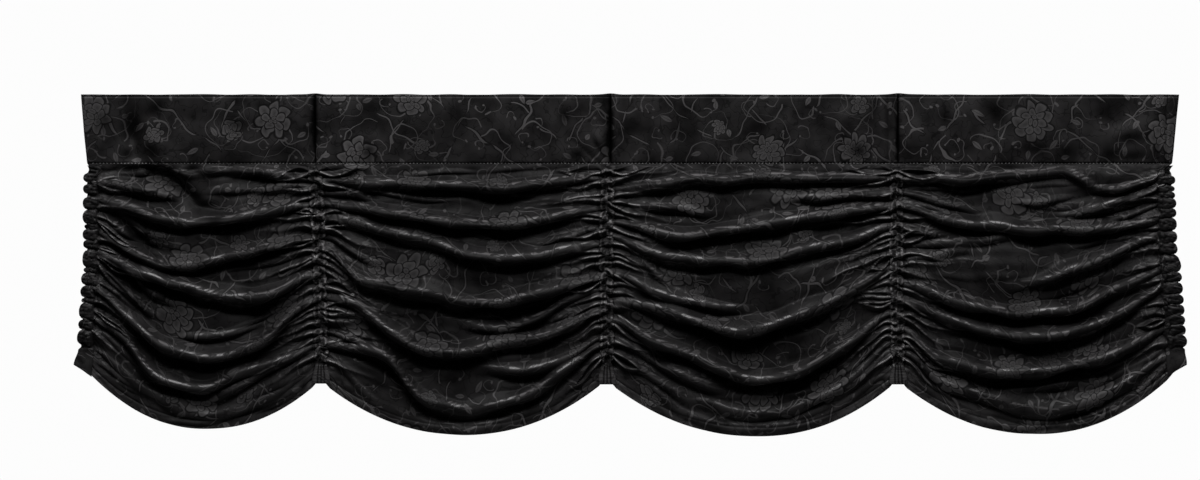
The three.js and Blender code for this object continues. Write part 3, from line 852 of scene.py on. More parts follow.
def side_strip_surface(seam, seed):
    """The same for a side's gathered strip, from the slanted tab's end up to its head: its inner part lies on
    the panel's pleats, and its outer part is drawn into flat loops that bulge out past the side."""
    pick = random.Random(seed)
    line, side = LINES[seam], SIDES.index(seam)
    way = 2 * side - 1
    drop, reach = strip_grid(line)
    outward = reach * way
    tab_top = line.foot_drop - TAB_HEIGHT - 4
    gathered = 1 - smooth(tab_top - 2, tab_top + 2, drop)
    flare = smooth(tab_top, line.foot_drop, drop)
    relief, folded, edges = relief_under(side * LAST_PANEL, side, SIDE_INNER, drop, reach)

    loops, rims, dots = np.zeros((3, len(drop), STRIP_COLUMNS))
    swelling = np.zeros(drop.shape)
    crumpled = drop + 0.8 * ripples(reach * 0.9, drop / 16, seed + 5)
    spread = smooth(-1.05, -0.5, outward)
    for middle, half in SIDE_LOOPS[side]:
        slope = pick.uniform(-0.14, 0.14) - way * LOOP_SLANT * float(smooth(140, 300, middle))
        high = LOOP_RISE * pick.uniform(0.8, 1.2) * (0.5 + 0.07 * half)
        part = np.abs(crumpled - middle - slope * reach * SIDE_INNER) / (half * 1.06)
        body = np.clip(1 - part ** 3, 0, 1) ** 0.55
        for place in DOT_PLACES:
            aside = (outward - place - pick.uniform(-0.1, 0.1)) * 9
            away = drop - middle - pick.uniform(-0.25, 0.25) * half
            dot = np.exp(-(aside ** 2 + away ** 2) / 1.5) * (half > 4)
            body = body - 0.28 * dot
            dots = np.maximum(dots, dot * spread)
        loops = np.maximum(loops, high * body * spread)
        # Painted highlight along each loop's rim
        rims = np.maximum(rims, bump(part - 0.8, 0.12) * spread * pick.uniform(0.15, 0.6))
        round_part = np.clip(1 - ((drop - middle) / half) ** 2, 0, 1) ** 0.5
        swelling = np.maximum(swelling, round_part * min(1, 0.3 + half / 9))
    pressed = gathered * np.exp(-loops / 0.9) * spread
    creased = 0.6 * ripples(reach * 1.1, drop / 6, seed + 13)
    tab = STRIP_SEAT + TAB_ROUND * (1 - outward ** 6) + 0.5 * ripples(reach * 0.5, drop / 22, seed + 3)
    tab = tab + TAB_LEAN * flare
    laid = (relief + STRIP_LAYER) * (1 - spread) + (STRIP_SEAT + creased + loops) * spread
    forward = gathered * laid + (1 - gathered) * tab
    headed = 0.25 + 0.75 * smooth(STRIP_TOP_DROP + 1, STRIP_TOP_DROP + 11, drop)
    outer = (SIDE_NOTCH + SIDE_BULGE * swelling) * headed
    outer = outer * gathered + (1 - gathered) * (SIDE_TAB + SIDE_FLARE * flare)
    outer = outer + np.interp(drop, *zip(*SIDE_SPREADS[side]))
    inner = SIDE_INNER + 1.5 * ripples(drop / 17, 0.0, seed + 1) * gathered
    middles = line_at(line, drop)
    across = middles + way * np.where(outward > 0, outward * outer, outward * inner)
    down = drop + DROOP * folded * gathered * (1 - spread) - 0.75 * outward * flare * 10
    sheet = strip_sheet(line, across, forward, down, middles + reach * 14 + seed)
    # Painted shade between the loops and in the stitch dots; painted highlight on the loops' rims and the
    # panel's crests under the strip
    dark = np.maximum(0.75 * pressed, 0.8 * dots * gathered)
    shown = np.maximum(edges * (1 - spread), rims) * gathered - dark
    return *sheet, 0.6 * gathered + 0 * reach, shown


def seam_strip_surface(seam, seed):
    """The same for a seam's gathered strip, from the tab's end up to its head: it lies on the pleats of the
    panels beside it, and is drawn into small knots along the seam."""
    pick = random.Random(seed)
    line = LINES[seam]
    drop, reach = strip_grid(line)
    tab_top = line.foot_drop - TAB_HEIGHT
    gathered = 1 - smooth(tab_top - 3, tab_top + 2, drop)
    flare = smooth(tab_top, line.foot_drop, drop)
    uneven = 1.2 * ripples(drop / 13, 0.0, seed + 1) * gathered
    half = SEAM_HALF_WIDTH - 1.5 * gathered + uneven - 3.6 * bump(drop - tab_top, 10)
    beside = reach * half
    share = smooth(-3.5, 3.5, beside)
    left = relief_under(seam - 1, 1, SEAM_HALF_WIDTH, drop, reach)
    right = relief_under(seam, 0, SEAM_HALF_WIDTH, drop, reach)
    forward, folded, edges = (one + (other - one) * share for one, other in zip(left, right))

    knots, rims = np.zeros((2, len(drop), STRIP_COLUMNS))
    crumpled = drop + 0.7 * ripples(beside / 9, drop / 11, seed + 5)
    for side in (-1, 1):
        at = PLEAT_TOP_DROP + pick.uniform(0, 3)
        while at < tab_top - 3:
            space = pick.uniform(*KNOT_PITCH)
            slope = pick.uniform(-0.5, 0.5) + side * 0.15
            aside = (beside - side * pick.uniform(*KNOT_PLACE)) / pick.uniform(*KNOT_HALF_WIDTH)
            away = (crumpled - at - slope * beside) / (0.54 * space)
            round_part = np.clip(1 - aside ** 2 - np.abs(away) ** 2.4, 0, 1)
            knot = pick.uniform(*KNOT_RISE) * round_part ** 0.55
            # Painted highlight around the knot's rim, and painted shade in its middle
            rim = pick.uniform(*KNOT_RIM) * bump(round_part - 0.45, 0.28)
            rims = np.where(knot > knots, rim - 0.3 * smooth(0.8, 0.97, round_part), rims)
            knots = np.maximum(knots, knot)
            at = at + space
    knots = knots * (1 - 0.4 * bump(beside - 0.8 * ripples(drop / 25, 0.4, seed + 7), 0.7))
    off_lines = np.abs(np.abs(reach) - 0.4) * SEAM_HALF_WIDTH, reach * SEAM_HALF_WIDTH
    tab = STRIP_SEAT + TAB_ROUND * (1 - reach ** 6)
    for off in off_lines:
        tab = tab - TAB_STITCH * bump(off, 0.8)
    tab = tab + TAB_LEAN * flare
    forward = gathered * (forward + STRIP_LAYER + knots) + (1 - gathered) * tab
    across = line_at(line, drop) + beside
    sheet = strip_sheet(line, across, forward, drop + DROOP * folded * gathered, across + seed)
    # Painted shade in the core between the knots; painted highlight on the knots' rims and the panels' crests
    # under the strip
    core = bump(beside, 4.5) * smooth(PLEAT_TOP_DROP - 8, PLEAT_TOP_DROP, drop)
    pressed = core * np.exp(-knots / 0.5)
    shown = (np.maximum(edges * np.exp(-knots / 2), rims) - 0.7 * pressed) * gathered
    lined = sum(bump(off, 0.9) for off in off_lines)
    # The tab is painted lighter, with painted shade along its stitched lines
    shown = shown + (1 - gathered) * (0.36 - 1.2 * lined)
    return *sheet, 0.87 + 0.03 * gathered + 0 * reach, shown


def add_object(name, data):
    """A new object in the scene."""
    made = bpy.data.objects.new(name, data)
    bpy.context.scene.collection.objects.link(made)
    return made


def mesh_of(shape, name, material):
    """A mesh of a finished shape in a material."""
    mesh = bpy.data.meshes.new(name)
    shape.to_mesh(mesh)
    shape.free()
    mesh.materials.append(material)
    return mesh


def cloth_piece(name, points, flat, gathered, painted_light_shade, node, material):
    """A thin sheet through a grid of points, with its places on the flat cloth as a UV map, how gathered
    each point is, and how much painted highlight (positive) or painted shade (negative) it carries."""
    rows, columns = points.shape[:2]
    grid = bmesh.new()
    bmesh.ops.create_grid(grid, x_segments=columns - 1, y_segments=rows - 1, size=0.5)
    mesh = mesh_of(grid, name, material)
    mesh.vertices.foreach_set("co", (points * MM).reshape(-1))
    order = np.zeros(len(mesh.loops), np.int32)
    mesh.loops.foreach_get("vertex_index", order)
    cloth_map = mesh.uv_layers.new(name="cloth")
    cloth_map.uv.foreach_set("vector", (flat.reshape(-1, 2) * MM)[order].astype(np.float32).reshape(-1))
    for label, values in (("gathered", gathered), ("painted_light_shade", painted_light_shade)):
        amount = mesh.attributes.new(label, "FLOAT", "POINT")
        amount.data.foreach_set("value", values.astype(np.float32).reshape(-1))
    mesh.polygons.foreach_set("use_smooth", np.ones(len(mesh.polygons), bool))
    mesh.update()
    piece = add_object(name, mesh)
    wall = piece.modifiers.new("cloth", "SOLIDIFY")
    wall.thickness = CLOTH * MM
    wall.offset = 0
    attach(piece, "root")
    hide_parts(node)
    return piece


def sheet_area(points):
    """Area of a grid of points in square metres."""
    side = (points[:-1, 1:] - points[:-1, :-1]) * MM
    rise = (points[1:, :-1] - points[:-1, :-1]) * MM
    return float(np.linalg.norm(np.cross(side, rise), axis=-1).sum())


class Value:
    """An output of a shader node. Sums and products of such values are math nodes in its tree."""

    def __init__(self, make, socket):
        self.make, self.socket = make, socket

    def __add__(self, other):
        return self.make.math("ADD", self, other)

    def __radd__(self, other):
        return self.make.math("ADD", other, self)

    def __sub__(self, other):
        return self.make.math("SUBTRACT", self, other)

    def __rsub__(self, other):
        return self.make.math("SUBTRACT", other, self)

    def __mul__(self, other):
        return self.make.math("MULTIPLY", self, other)

    def __truediv__(self, other):
        return self.make.math("DIVIDE", self, other)

    def clamped(self):
        """The same value, held between 0 and 1."""
        self.socket.node.use_clamp = True
        return self


class Maker:
    """Adds nodes to a node tree and feeds numbers, colours and values to their inputs."""

    def __init__(self, tree):
        self.tree = tree

    def feed(self, node, inputs):
        for name, given in inputs.items():
            if isinstance(given, Value):
                self.tree.links.new(given.socket, node.inputs[name])
            else:
                node.inputs[name].default_value = given

    def node(self, kind, inputs=None, **settings):
        made = self.tree.nodes.new(kind)
        for name, setting in settings.items():
            setattr(made, name, setting)
        self.feed(made, inputs or {})
        return made

    def outs(self, kind, inputs=None, **settings):
        """All outputs of a new node."""
        return [Value(self, socket) for socket in self.node(kind, inputs, **settings).outputs]

    def out(self, kind, output=0, inputs=None, **settings):
        """One output of a new node."""
        return Value(self, self.node(kind, inputs, **settings).outputs[output])

    def group(self, shape, **inputs):
        """The outputs of a shader group."""
        return self.outs("ShaderNodeGroup", inputs, node_tree=shape)

    def math(self, operation, *values):
        return self.out("ShaderNodeMath", 0, dict(enumerate(values)), operation=operation)

    def vector(self, operation, first, second):
        second_input = "Scale" if operation == "SCALE" else 1
        return self.out("ShaderNodeVectorMath", 0, {0: first, second_input: second}, operation=operation)


def new_group(name, inputs, outputs):
    """An empty shader group for numbers, its maker, the values given to it, and its output node."""
    tree = bpy.data.node_groups.new(name, "ShaderNodeTree")
    for way, labels in (("INPUT", inputs), ("OUTPUT", outputs)):
        for label in labels.split():
            tree.interface.new_socket(label, in_out=way, socket_type="NodeSocketFloat")
    make = Maker(tree)
    given = make.outs("NodeGroupInput")[:len(inputs.split())]
    return tree, make, given, make.node("NodeGroupOutput")


# Drawing of the motifs: how sharp the rims of lines and leaves are for each millimetre, and the rings of a
# blossom's petals, as the distance of their middles from its own and half their length in radii
LINE_SHARPNESS = 1.6
LEAF_SHARPNESS = 1.8
OUTER_RING = (0.7, 0.34)
INNER_RING = (0.43, 0.25)
HEART_RING = (0.17, 0.15)
HEART_PETALS = 3.0
TENDRILS = 3.0


def blossom_group():
    """A blossom with two rings of oval petals and a heart of three, as a mask with dark lines between the
    petals, and the place that it covers."""
    tree, make, given, results = new_group("blossom", "side up radius petals turn", "mask place")
    side, up, radius, petals, turn = given
    apply = make.math
    far = apply("SQRT", side * side + up * up) / radius
    angle = apply("ARCTAN2", up, side) + turn

    def petal_depth(ring, count, turned):
        """How deep a point is inside a ring's petals, from 1 at a petal's middle to 0 at its rim."""
        reach, long = ring
        off = (apply("FRACT", angle * count / math.tau + turned) - 0.5) * math.tau / count
        outward = (far * apply("COSINE", off) - reach) / long
        wide = apply("SINE", apply("DIVIDE", math.pi, count)) * (1.08 * reach)
        aside = far * apply("SINE", off) / wide
        return 1.0 - apply("SQRT", outward * outward + aside * aside)

    def tone(depth):
        """A petal's paleness: strongest near its rim, dark at the rim itself."""
        return ((depth - 0.09) * 7.0).clamped() * (1.0 - depth * 0.65)

    def over(below, depth):
        """A ring laid over what is below it, with a thin dark line around it."""
        cover = (depth * 9.0 + 1.0).clamped()
        return (below * (1.0 - cover) + tone(depth) * cover).clamped()

    outer = petal_depth(OUTER_RING, petals, 0.0)
    inner = petal_depth(INNER_RING, petals - 2.0, 0.5)
    heart = petal_depth(HEART_RING, HEART_PETALS, 0.2)
    filling = ((0.5 - far) * 20.0).clamped()
    ground = apply("MAXIMUM", tone(outer), filling * 0.5)
    make.feed(results, {"mask": over(over(ground, inner), heart)})
    make.feed(results, {"place": apply("MAXIMUM", (outer * 8.0 + 1.6).clamped(), filling)})
    return tree


def tendril_group():
    """Three slender stems that wind out of a blossom and taper to their ends."""
    tree, make, given, results = new_group("tendrils", "side up radius turn way", "mask")
    side, up, radius, turn, way = given
    apply = make.math
    up = up * way
    length = apply("SQRT", side * side + up * up)
    far = length / radius
    wound = apply("ARCTAN2", up, side) + turn - apply("POWER", far, 1.4) * 0.75
    off = (apply("FRACT", wound * TENDRILS / math.tau) - 0.5) * math.tau / TENDRILS
    beside = apply("ABSOLUTE", apply("SINE", off)) * length * 0.62
    half_width = 1.75 - far * 0.55
    make.feed(results, {"mask": ((half_width - beside) * LINE_SHARPNESS).clamped()})
    return tree


def vine_group():
    """A vine that hooks round, tapers and ends in a bead."""
    tree, make, given, results = new_group("vine", "side up radius sweep turn way stout", "mask")
    side, up, radius, sweep, turn, way, stout = given
    apply = make.math
    up = up * way
    far = apply("SQRT", side * side + up * up)
    part = apply("FRACT", (apply("ARCTAN2", up, side) + turn) / math.tau)
    ring = radius * (1.15 - part * 0.6)
    left = 1.0 - part / sweep
    half_width = stout * (0.35 + left * 0.65)
    line = ((half_width - apply("ABSOLUTE", far - ring)) * LINE_SHARPNESS).clamped()
    line = line * apply("GREATER_THAN", left, 0.0)
    end = sweep * math.tau - turn
    end_ring = radius * (1.15 - sweep * 0.6)
    aside = side - end_ring * apply("COSINE", end)
    away = up - end_ring * apply("SINE", end)
    off = apply("SQRT", aside * aside + away * away)
    bead = ((stout + 0.9 - off) * LINE_SHARPNESS).clamped()
    make.feed(results, {"mask": apply("MAXIMUM", line, bead)})
    return tree


def leaf_group():
    """A pointed leaf with a dark midrib."""
    tree, make, given, results = new_group("leaf", "side up half_length half_width turn", "mask")
    side, up, half_length, half_width, turn = given
    apply = make.math
    cosine, sine = apply("COSINE", turn), apply("SINE", turn)
    lengthways = side * cosine + up * sine
    sideways = apply("ABSOLUTE", up * cosine - side * sine)
    part = apply("MAXIMUM", apply("MINIMUM", lengthways / half_length, 1.5), -1.5)
    taper = (1.0 - part * part) * (1.0 + part * -0.4)
    inside = ((taper * half_width - sideways) * LEAF_SHARPNESS).clamped()
    make.feed(results, {"mask": inside * (0.25 + sideways * 1.2).clamped()})
    return tree


# Scatter of the woven motifs: cell size, shift of the cells, and how uneven the scatter is
Scatter = namedtuple("Scatter", "cell shift uneven")
LARGE_BLOSSOMS = Scatter(112, (0.3, 0.55, 0), 0.6)
SMALL_BLOSSOMS = Scatter(88, (0.8, 0.1, 0), 0.75)
HOOKS = Scatter(56, (0.7, 0.2, 0), 0.7)
CURLS = Scatter(40, (0.2, 0.4, 0), 0.8)
LEAVES = Scatter(34, (0.6, 0.9, 0), 0.9)

# Least radius of a motif and how much more it may have, and half the width of the lines
LARGE_RADIUS = (20.0, 7.0)
SMALL_RADIUS = (9.0, 5.0)
HOOK_RADIUS = (13.0, 10.0)
CURL_RADIUS = (5.0, 5.0)
HOOK_STOUT = 1.3
CURL_STOUT = 1.0
STEM_STOUT = 1.4
STEM_OUTLINE = 1.1

# Size and reach of the noise that bends the motifs
PETAL_SWAY = (13, 9)
HOOK_SWAY = (20, 17)
CURL_SWAY = (10, 7)
VEIN_SIZE = 14
PATCH_SIZE = 130

# Winding stems: direction, distance between them, size and reach of their sway, and size of their breaks
Stem = namedtuple("Stem", "turn pitch size sway patch")
STEMS = [Stem(0.9, 58, 40, 34, 32), Stem(-0.5, 66, 34, 28, 27)]


def pattern_group():
    """The woven floral pattern: blossoms, curls and leaves on winding stems, as a mask over the flat cloth,
    and the dark lines around them."""
    blossom, tendril, vine, leaf = blossom_group(), tendril_group(), vine_group(), leaf_group()
    tree, make, (across, along), results = new_group("floral pattern", "across along", "mask lines")
    apply = make.math

    def cloth_place(after):
        """The place on the cloth. Each layer waits for the one before it, which keeps the shader small."""
        place = make.node("ShaderNodeCombineXYZ", {0: across, 1: along})
        if after is not None:
            make.feed(place, {2: after * 1e-6})
        return Value(make, place.outputs[0])

    def noise(size, after, detail=0.0, output="Fac"):
        made = make.node("ShaderNodeTexNoise", {"Scale": 1 / size, "Detail": detail})
        make.feed(made, {"Vector": cloth_place(after)})
        return Value(make, made.outputs[output])

    def scatter(layer, sway, after):
        """Offset from the nearest motif's middle in millimetres, bent by noise where a sway is given, and
        three random values of that motif."""
        moved = make.vector("ADD", make.vector("SCALE", cloth_place(after), 1 / layer.cell), layer.shift)
        spots = {"Scale": 1, "Randomness": layer.uneven, "Vector": moved}
        cells = make.node("ShaderNodeTexVoronoi", spots, voronoi_dimensions="2D")
        offset = make.vector("SUBTRACT", moved, Value(make, cells.outputs["Position"]))
        side, up, _ = make.outs("ShaderNodeSeparateXYZ", {0: make.vector("SCALE", offset, layer.cell)})
        chances = make.outs("ShaderNodeSeparateColor", {0: Value(make, cells.outputs["Color"])})
        if sway:
            size, most = sway
            first, second, _ = make.outs("ShaderNodeSeparateColor", {0: noise(size, side, output="Color")})
            side, up = side + (first - 0.5) * most, up + (second - 0.5) * most
        return side, up, *chances

    def either_way(chance):
        """1 or -1 at random."""
        return apply("GREATER_THAN", chance, 0.5) * 2.0 - 1.0

    def blossoms(layer, radii, petals, rarity, after=None):
        """A layer of blossoms with their stems: the flowers, the place they cover, and the stems."""
        side, up, first, second, third = scatter(layer, PETAL_SWAY, after)
        turn = first * math.tau
        shown = apply("GREATER_THAN", apply("FRACT", first * 7.3), rarity)
        size = (radii[0] + second * radii[1]) * apply("MAXIMUM", shown, 0.01)
        count = petals + apply("FLOOR", third * 2.99)
        drawn = make.group(blossom, side=side, up=up, turn=turn, radius=size, petals=count)
        way = either_way(third)
        return *drawn, *make.group(tendril, side=side, up=up, radius=size, turn=turn, way=way)

    large, large_place, stems = blossoms(LARGE_BLOSSOMS, LARGE_RADIUS, petals=7.0, rarity=0.12)
    small, small_place, small_stems = blossoms(
        SMALL_BLOSSOMS, SMALL_RADIUS, petals=5.0, rarity=0.3, after=large)
    flowers = large + small * (1.0 - large_place)
    covered = apply("MAXIMUM", large_place, small_place)
    stems = apply("MAXIMUM", stems, small_stems * 0.8)

    def vines(layer, radii, stout, sway, after):
        """A layer of hooked vines."""
        side, up, first, second, third = scatter(layer, sway, after)
        way = either_way(second)
        return make.group(vine, side=side, up=up, way=way, turn=first * math.tau, stout=stout,
                          radius=radii[0] + third * radii[1],
                          sweep=0.5 + apply("FRACT", third * 5.7) * 0.4)[0]

    hooks = vines(HOOKS, HOOK_RADIUS, HOOK_STOUT, HOOK_SWAY, flowers)
    curls = apply("MAXIMUM", hooks, vines(CURLS, CURL_RADIUS, CURL_STOUT, CURL_SWAY, hooks))
    side, up, first, second, third = scatter(LEAVES, None, curls)
    leaves = make.group(leaf, side=side, up=up, turn=first * math.tau, half_length=4.0 + second * 6.0,
                        half_width=apply("GREATER_THAN", third, 0.45) * 3.2)[0]

    def swaying(stem, after):
        """Distance in millimetres from the nearest of a row of lines that sway as they run."""
        sway = (noise(stem.size, after, 1.0) - 0.5) * stem.sway
        lengthways = along * math.sin(stem.turn)
        place = across * math.cos(stem.turn) + lengthways + sway
        return apply("ABSOLUTE", apply("FRACT", place / stem.pitch) - 0.5) * stem.pitch

    winding, outlines = None, None
    for stem in STEMS:
        off = swaying(stem, winding or leaves)
        half_width = apply("MINIMUM", (noise(stem.patch, off) - 0.43) * 14.0, STEM_STOUT)
        line = ((half_width - off) * LINE_SHARPNESS).clamped()
        outline = ((half_width + STEM_OUTLINE - off) * LINE_SHARPNESS).clamped()
        outline = outline * apply("GREATER_THAN", half_width, 0.0)
        winding = apply("MAXIMUM", winding, line) if winding else line
        outlines = apply("MAXIMUM", outlines, outline) if outlines else outline
    veins = ((0.02 - apply("ABSOLUTE", noise(VEIN_SIZE, outlines, 1.0) - 0.5)) * 100.0).clamped()

    thin = apply("MAXIMUM", winding * 0.8, curls * 0.85)
    lines = apply("MAXIMUM", apply("MAXIMUM", stems * 0.9, leaves * 0.85), thin)
    drawn = (lines * (1.0 - covered) + flowers).clamped()
    patches = ((noise(PATCH_SIZE, drawn) - 0.3) * 2.4).clamped()
    mask = drawn * (0.5 + patches * 0.5)
    bare = 1.0 - mask
    around = apply("MAXIMUM", outlines, covered) * bare
    make.feed(results, {"mask": mask, "lines": apply("MAXIMUM", around, veins * 0.75)})
    return tree


# Finish of the cloth, its thread and the stage
GROUND_DARK = (0.0058, 0.0055, 0.0057, 1)
GROUND_PALE = (0.0190, 0.0181, 0.0186, 1)
MOTIF = (0.078, 0.0748, 0.0763, 1)
# Also the colour of the painted highlights
LINE = (0.0025, 0.0024, 0.0025, 1)
# Colour of the painted shade
SHADE = (0.0008, 0.0008, 0.0008, 1)
THREAD = (0.2, 0.196, 0.198, 1)
FLOOR = (0.9, 0.9, 0.9, 1)
WHITE = (1, 1, 1, 1)
GROUND_ROUGHNESS = 0.5
MOTIF_ROUGHNESS = 0.38
COAT_ROUGHNESS = 0.24
SPECULAR = 0.06
THREAD_ROUGHNESS = 0.4
FLOOR_ROUGHNESS = 0.9
MOTIF_SHINE = 0.10
# Coat on the painted highlights
EDGE_SHINE = 0.5
# Noise that breaks the painted highlights into dashes
DASH_SCALE = (75, 190, 1)
CLOUD_SCALE = (30, 30, 1)
WARP_SCALE = (1300, 420, 1)
CREASE_SCALE = (28, 190, 1)
TWIST_SCALE = 900

# How much of the motif and the clouds the gathers hide, partly as painted shade on the folds, and from which
# gathering on the painted highlights are unbroken
MOTIF_LOSS = 0.75
CLOUD_LOSS = 0.8
UNBROKEN_FROM = 0.62
LINE_SHARE = 0.75

# Small relief of the cloth and the thread: shares of its height, its strength, and its depth in metres
MOTIF_HEIGHT = 0.3
LINE_DEPTH = 0.2
THREAD_HEIGHT = 0.12
CREASE_HEIGHT = -2.0
CLOTH_RELIEF = {"Strength": 0.6, "Distance": 0.0008}
THREAD_RELIEF = {"Strength": 0.5, "Distance": 0.0002}


def new_material(name):
    """A material, its maker and its shader."""
    material = bpy.data.materials.new(name)
    material.use_nodes = True
    return material, Maker(material.node_tree), material.node_tree.nodes["Principled BSDF"]


def stretched_noise(make, place, scale, detail):
    """Noise over the flat cloth, stretched along one way of its threads."""
    stretched = make.out("ShaderNodeMapping", 0, {"Vector": place, "Scale": scale})
    inputs = {"Scale": 1, "Detail": detail, "Vector": stretched}
    return make.out("ShaderNodeTexNoise", "Fac", inputs, noise_dimensions="2D")


def jacquard():
    """Black satin ground with the pattern woven in a paler face and finely creased near the gathers, with
    painted highlights along the fold crests and painted shade in the hollows, from a mesh attribute."""
    material, make, shader = new_material("black jacquard")
    apply = make.math
    cloth = make.out("ShaderNodeUVMap", uv_map="cloth")
    across, along, _ = make.outs("ShaderNodeSeparateXYZ", {0: make.vector("SCALE", cloth, 1 / MM)})
    pattern, lines = make.group(pattern_group(), across=across, along=along)
    threads = stretched_noise(make, cloth, WARP_SCALE, 2)
    clouds = stretched_noise(make, cloth, CLOUD_SCALE, 2)
    gathered = make.out("ShaderNodeAttribute", "Fac", attribute_name="gathered")
    painted_light_shade = make.out("ShaderNodeAttribute", "Fac", attribute_name="painted_light_shade")
    mask = pattern * (1.0 - gathered * MOTIF_LOSS)

    def blend(share, first, second):
        """A colour between two others."""
        return make.out("ShaderNodeMix", 2, {"Factor": share, 6: first, 7: second}, data_type="RGBA")

    woven = mask * (0.7 + threads * 0.6)
    # Painted highlight where the attribute is positive, broken into dashes and cut by the pattern's lines,
    # unbroken where the cloth is most gathered; painted shade where it is negative
    dashes = ((stretched_noise(make, cloth, DASH_SCALE, 0) - 0.47) * 18.0).clamped()
    edge = apply("MAXIMUM", painted_light_shade, 0.0)
    shade = apply("MAXIMUM", painted_light_shade * -1.0, 0.0)
    cut = 1.0 - lines * 0.9
    whole = ((gathered - UNBROKEN_FROM) * 4.0).clamped()
    broken = apply("MAXIMUM", 0.1 + dashes * 0.75, whole * 0.7)
    painted_highlight = edge * cut * broken
    # Cloudy ground: partly the cloth's own uneven tone, partly painted light and shade for soft dents; where
    # gathered it turns to the dark ground, partly painted shade
    cloudy = ((clouds - 0.3) * 2.5).clamped() * (1.0 - gathered * CLOUD_LOSS)
    ground = blend(lines * LINE_SHARE, blend(cloudy, GROUND_DARK, GROUND_PALE), LINE)
    # The painted highlight takes the motif's colour and an extra coat; the painted shade takes the SHADE
    # colour
    lit = blend(apply("MAXIMUM", woven, painted_highlight), ground, MOTIF)
    make.feed(shader, {"Base Color": blend(shade, lit, SHADE)})
    finish = {"Value": mask, "To Min": GROUND_ROUGHNESS, "To Max": MOTIF_ROUGHNESS}
    make.feed(shader, {"Roughness": make.out("ShaderNodeMapRange", 0, finish)})
    make.feed(shader, {"Coat Weight": mask * MOTIF_SHINE + painted_highlight * EDGE_SHINE})
    make.feed(shader, {"Coat Roughness": COAT_ROUGHNESS, "Specular IOR Level": SPECULAR})
    creases = apply("ABSOLUTE", stretched_noise(make, cloth, CREASE_SCALE, 1) - 0.5)
    creased = creases * (0.06 + apply("POWER", gathered, 3.0) * 1.6)
    height = mask * MOTIF_HEIGHT - lines * LINE_DEPTH + threads * THREAD_HEIGHT + creased * CREASE_HEIGHT
    make.feed(shader, {"Normal": make.out("ShaderNodeBump", 0, {**CLOTH_RELIEF, "Height": height})})
    return material


def sewing_thread():
    """Black sewing thread with its twist."""
    material, make, shader = new_material("black thread")
    place = make.out("ShaderNodeTexCoord", "Object")
    inputs = {"Scale": TWIST_SCALE, "Vector": place}
    twist = make.out("ShaderNodeTexWave", "Fac", inputs, bands_direction="DIAGONAL")
    relief = make.out("ShaderNodeBump", 0, {**THREAD_RELIEF, "Height": twist})
    make.feed(shader, {"Base Color": THREAD, "Roughness": THREAD_ROUGHNESS, "Normal": relief})
    return material


def declare(points, width):
    """Works out a piece's area over the width it was cut to, and does nothing with the result."""
    sheet_area(points) / (width * MM)


def build_panels(material):
    """The four panels with their headings."""
    for number in range(len(HEMS)):
        panel = Panel(number)
        surface = panel_surface(panel)
        piece = cloth_piece(f"swag_panel_{number + 1}", *surface, f"panel_{number + 1}", material)
        declare(surface[0], panel.width)


def build_strips(material):
    """The gathered strips over the seams and down the sides."""
    for seam in range(1, len(LINES) - 1):
        surface = seam_strip_surface(seam, SEAM_STRIP_SEED + 30 * seam)
        piece = cloth_piece(f"seam_shirring_{seam}", *surface, f"seam_gather_{seam}", material)
        declare(surface[0], 2 * SEAM_HALF_WIDTH)
    for name, seam in zip(("left", "right"), SIDES):
        surface = side_strip_surface(seam, SIDE_STRIP_SEED + seam)
        piece = cloth_piece(f"side_shirring_{name}", *surface, f"side_gather_{name}", material)
        declare(surface[0], 2 * SIDE_HALF_WIDTH)


# Sewing along the heading's lower edge
STITCH_PITCH = 4.4
STITCH_LENGTH = 2.3
STITCH_THICKNESS = 0.9
STITCH_ENDS = 3
STITCH_GAP = 4
STITCH_SINK = 0.5
DRAWN_TIGHT = 0.45


def build_stitches(material):
    """The row of stitches that closes the rod pocket."""
    sewing = bmesh.new()
    begin, end = line_at(LINES[0], STITCH_DROP) + STITCH_ENDS, line_at(LINES[-1], STITCH_DROP) - STITCH_ENDS
    half_thick = STITCH_THICKNESS / 2 * MM
    size = Matrix.Diagonal((STITCH_LENGTH / 2 * MM, half_thick, half_thick, 1))
    for number in range(int((end - begin) / STITCH_PITCH)):
        across = begin + number * STITCH_PITCH
        if min(abs(across - line_at(line, STITCH_DROP)) for line in LINES) < STITCH_GAP:
            continue
        tight = DRAWN_TIGHT * float(smooth(-0.2, 0.5, ripples(across / 90, 0.0, STITCH_SEED)))
        place = Matrix.Translation((across * MM, -(LAYER - STITCH_SINK - tight) * MM, -STITCH_DROP * MM))
        bmesh.ops.create_icosphere(sewing, subdivisions=1, radius=1, matrix=place @ size)
    piece = add_object("heading_stitches", mesh_of(sewing, "heading_stitches", material))
    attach(piece, "root")


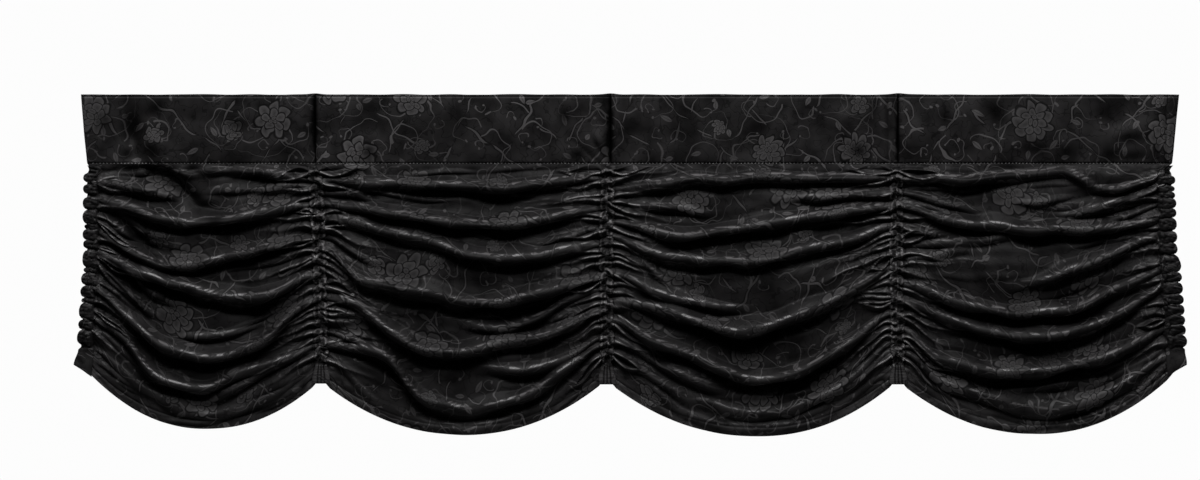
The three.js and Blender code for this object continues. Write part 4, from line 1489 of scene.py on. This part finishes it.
# Camera, floor and lights, in metres and watts
CAMERA_PLACE = (-0.0375, -6.0, -0.1818)
VIEW_WIDTH = 1.499
SENSOR = 36
FLOOR_DROP = 2.4
FLOOR_HALF = 2.0
LIGHT_TARGET = (0, 0, -0.2)
Light = namedtuple("Light", "name place size power")
LIGHTS = [
    Light("front softbox", (0, -1.4, 2.15), (3.0, 1.7), 128),
    Light("rear softbox", (0, 2.0, 1.2), (2.4, 1.2), 40),
]
SURROUND_LIGHT = 0.015
BACKDROP_LIGHT = 0.965


def build_camera():
    """Head on view that spans the width of the picture at the heading."""
    lens = bpy.data.cameras.new("front view")
    lens.sensor_width = SENSOR
    lens.lens = SENSOR * -CAMERA_PLACE[1] / VIEW_WIDTH
    camera = add_object("front view", lens)
    camera.location = CAMERA_PLACE
    camera.rotation_euler = Euler((math.pi / 2, 0, 0))
    bpy.context.scene.camera = camera


def build_stage():
    """Pale floor, soft lights and a white surround."""
    shape = bmesh.new()
    bmesh.ops.create_grid(shape, x_segments=1, y_segments=1, size=FLOOR_HALF)
    bmesh.ops.translate(shape, verts=shape.verts, vec=(0, 0, -FLOOR_DROP))
    paint, make, shader = new_material("pale floor")
    make.feed(shader, {"Base Color": FLOOR, "Roughness": FLOOR_ROUGHNESS})
    floor = add_object("floor", mesh_of(shape, "floor", paint))
    for row in LIGHTS:
        lamp = bpy.data.lights.new(row.name, "AREA")
        lamp.shape = "RECTANGLE"
        lamp.size, lamp.size_y = row.size
        lamp.energy = row.power
        light = add_object(row.name, lamp)
        light.location = row.place
        light.rotation_euler = (Vector(LIGHT_TARGET) - Vector(row.place)).to_track_quat("-Z", "Y").to_euler()
    world = bpy.data.worlds.new("studio")
    bpy.context.scene.world = world
    world.use_nodes = True
    make = Maker(world.node_tree)
    seen = make.out("ShaderNodeLightPath", "Is Camera Ray")
    level = SURROUND_LIGHT + seen * BACKDROP_LIGHT
    make.feed(world.node_tree.nodes["Background"], {"Color": WHITE, "Strength": level})
    bpy.context.scene.view_settings.view_transform = "Standard"


build_camera()
build_stage()
cloth_finish = jacquard()
build_panels(cloth_finish)
build_strips(cloth_finish)
build_stitches(sewing_thread())
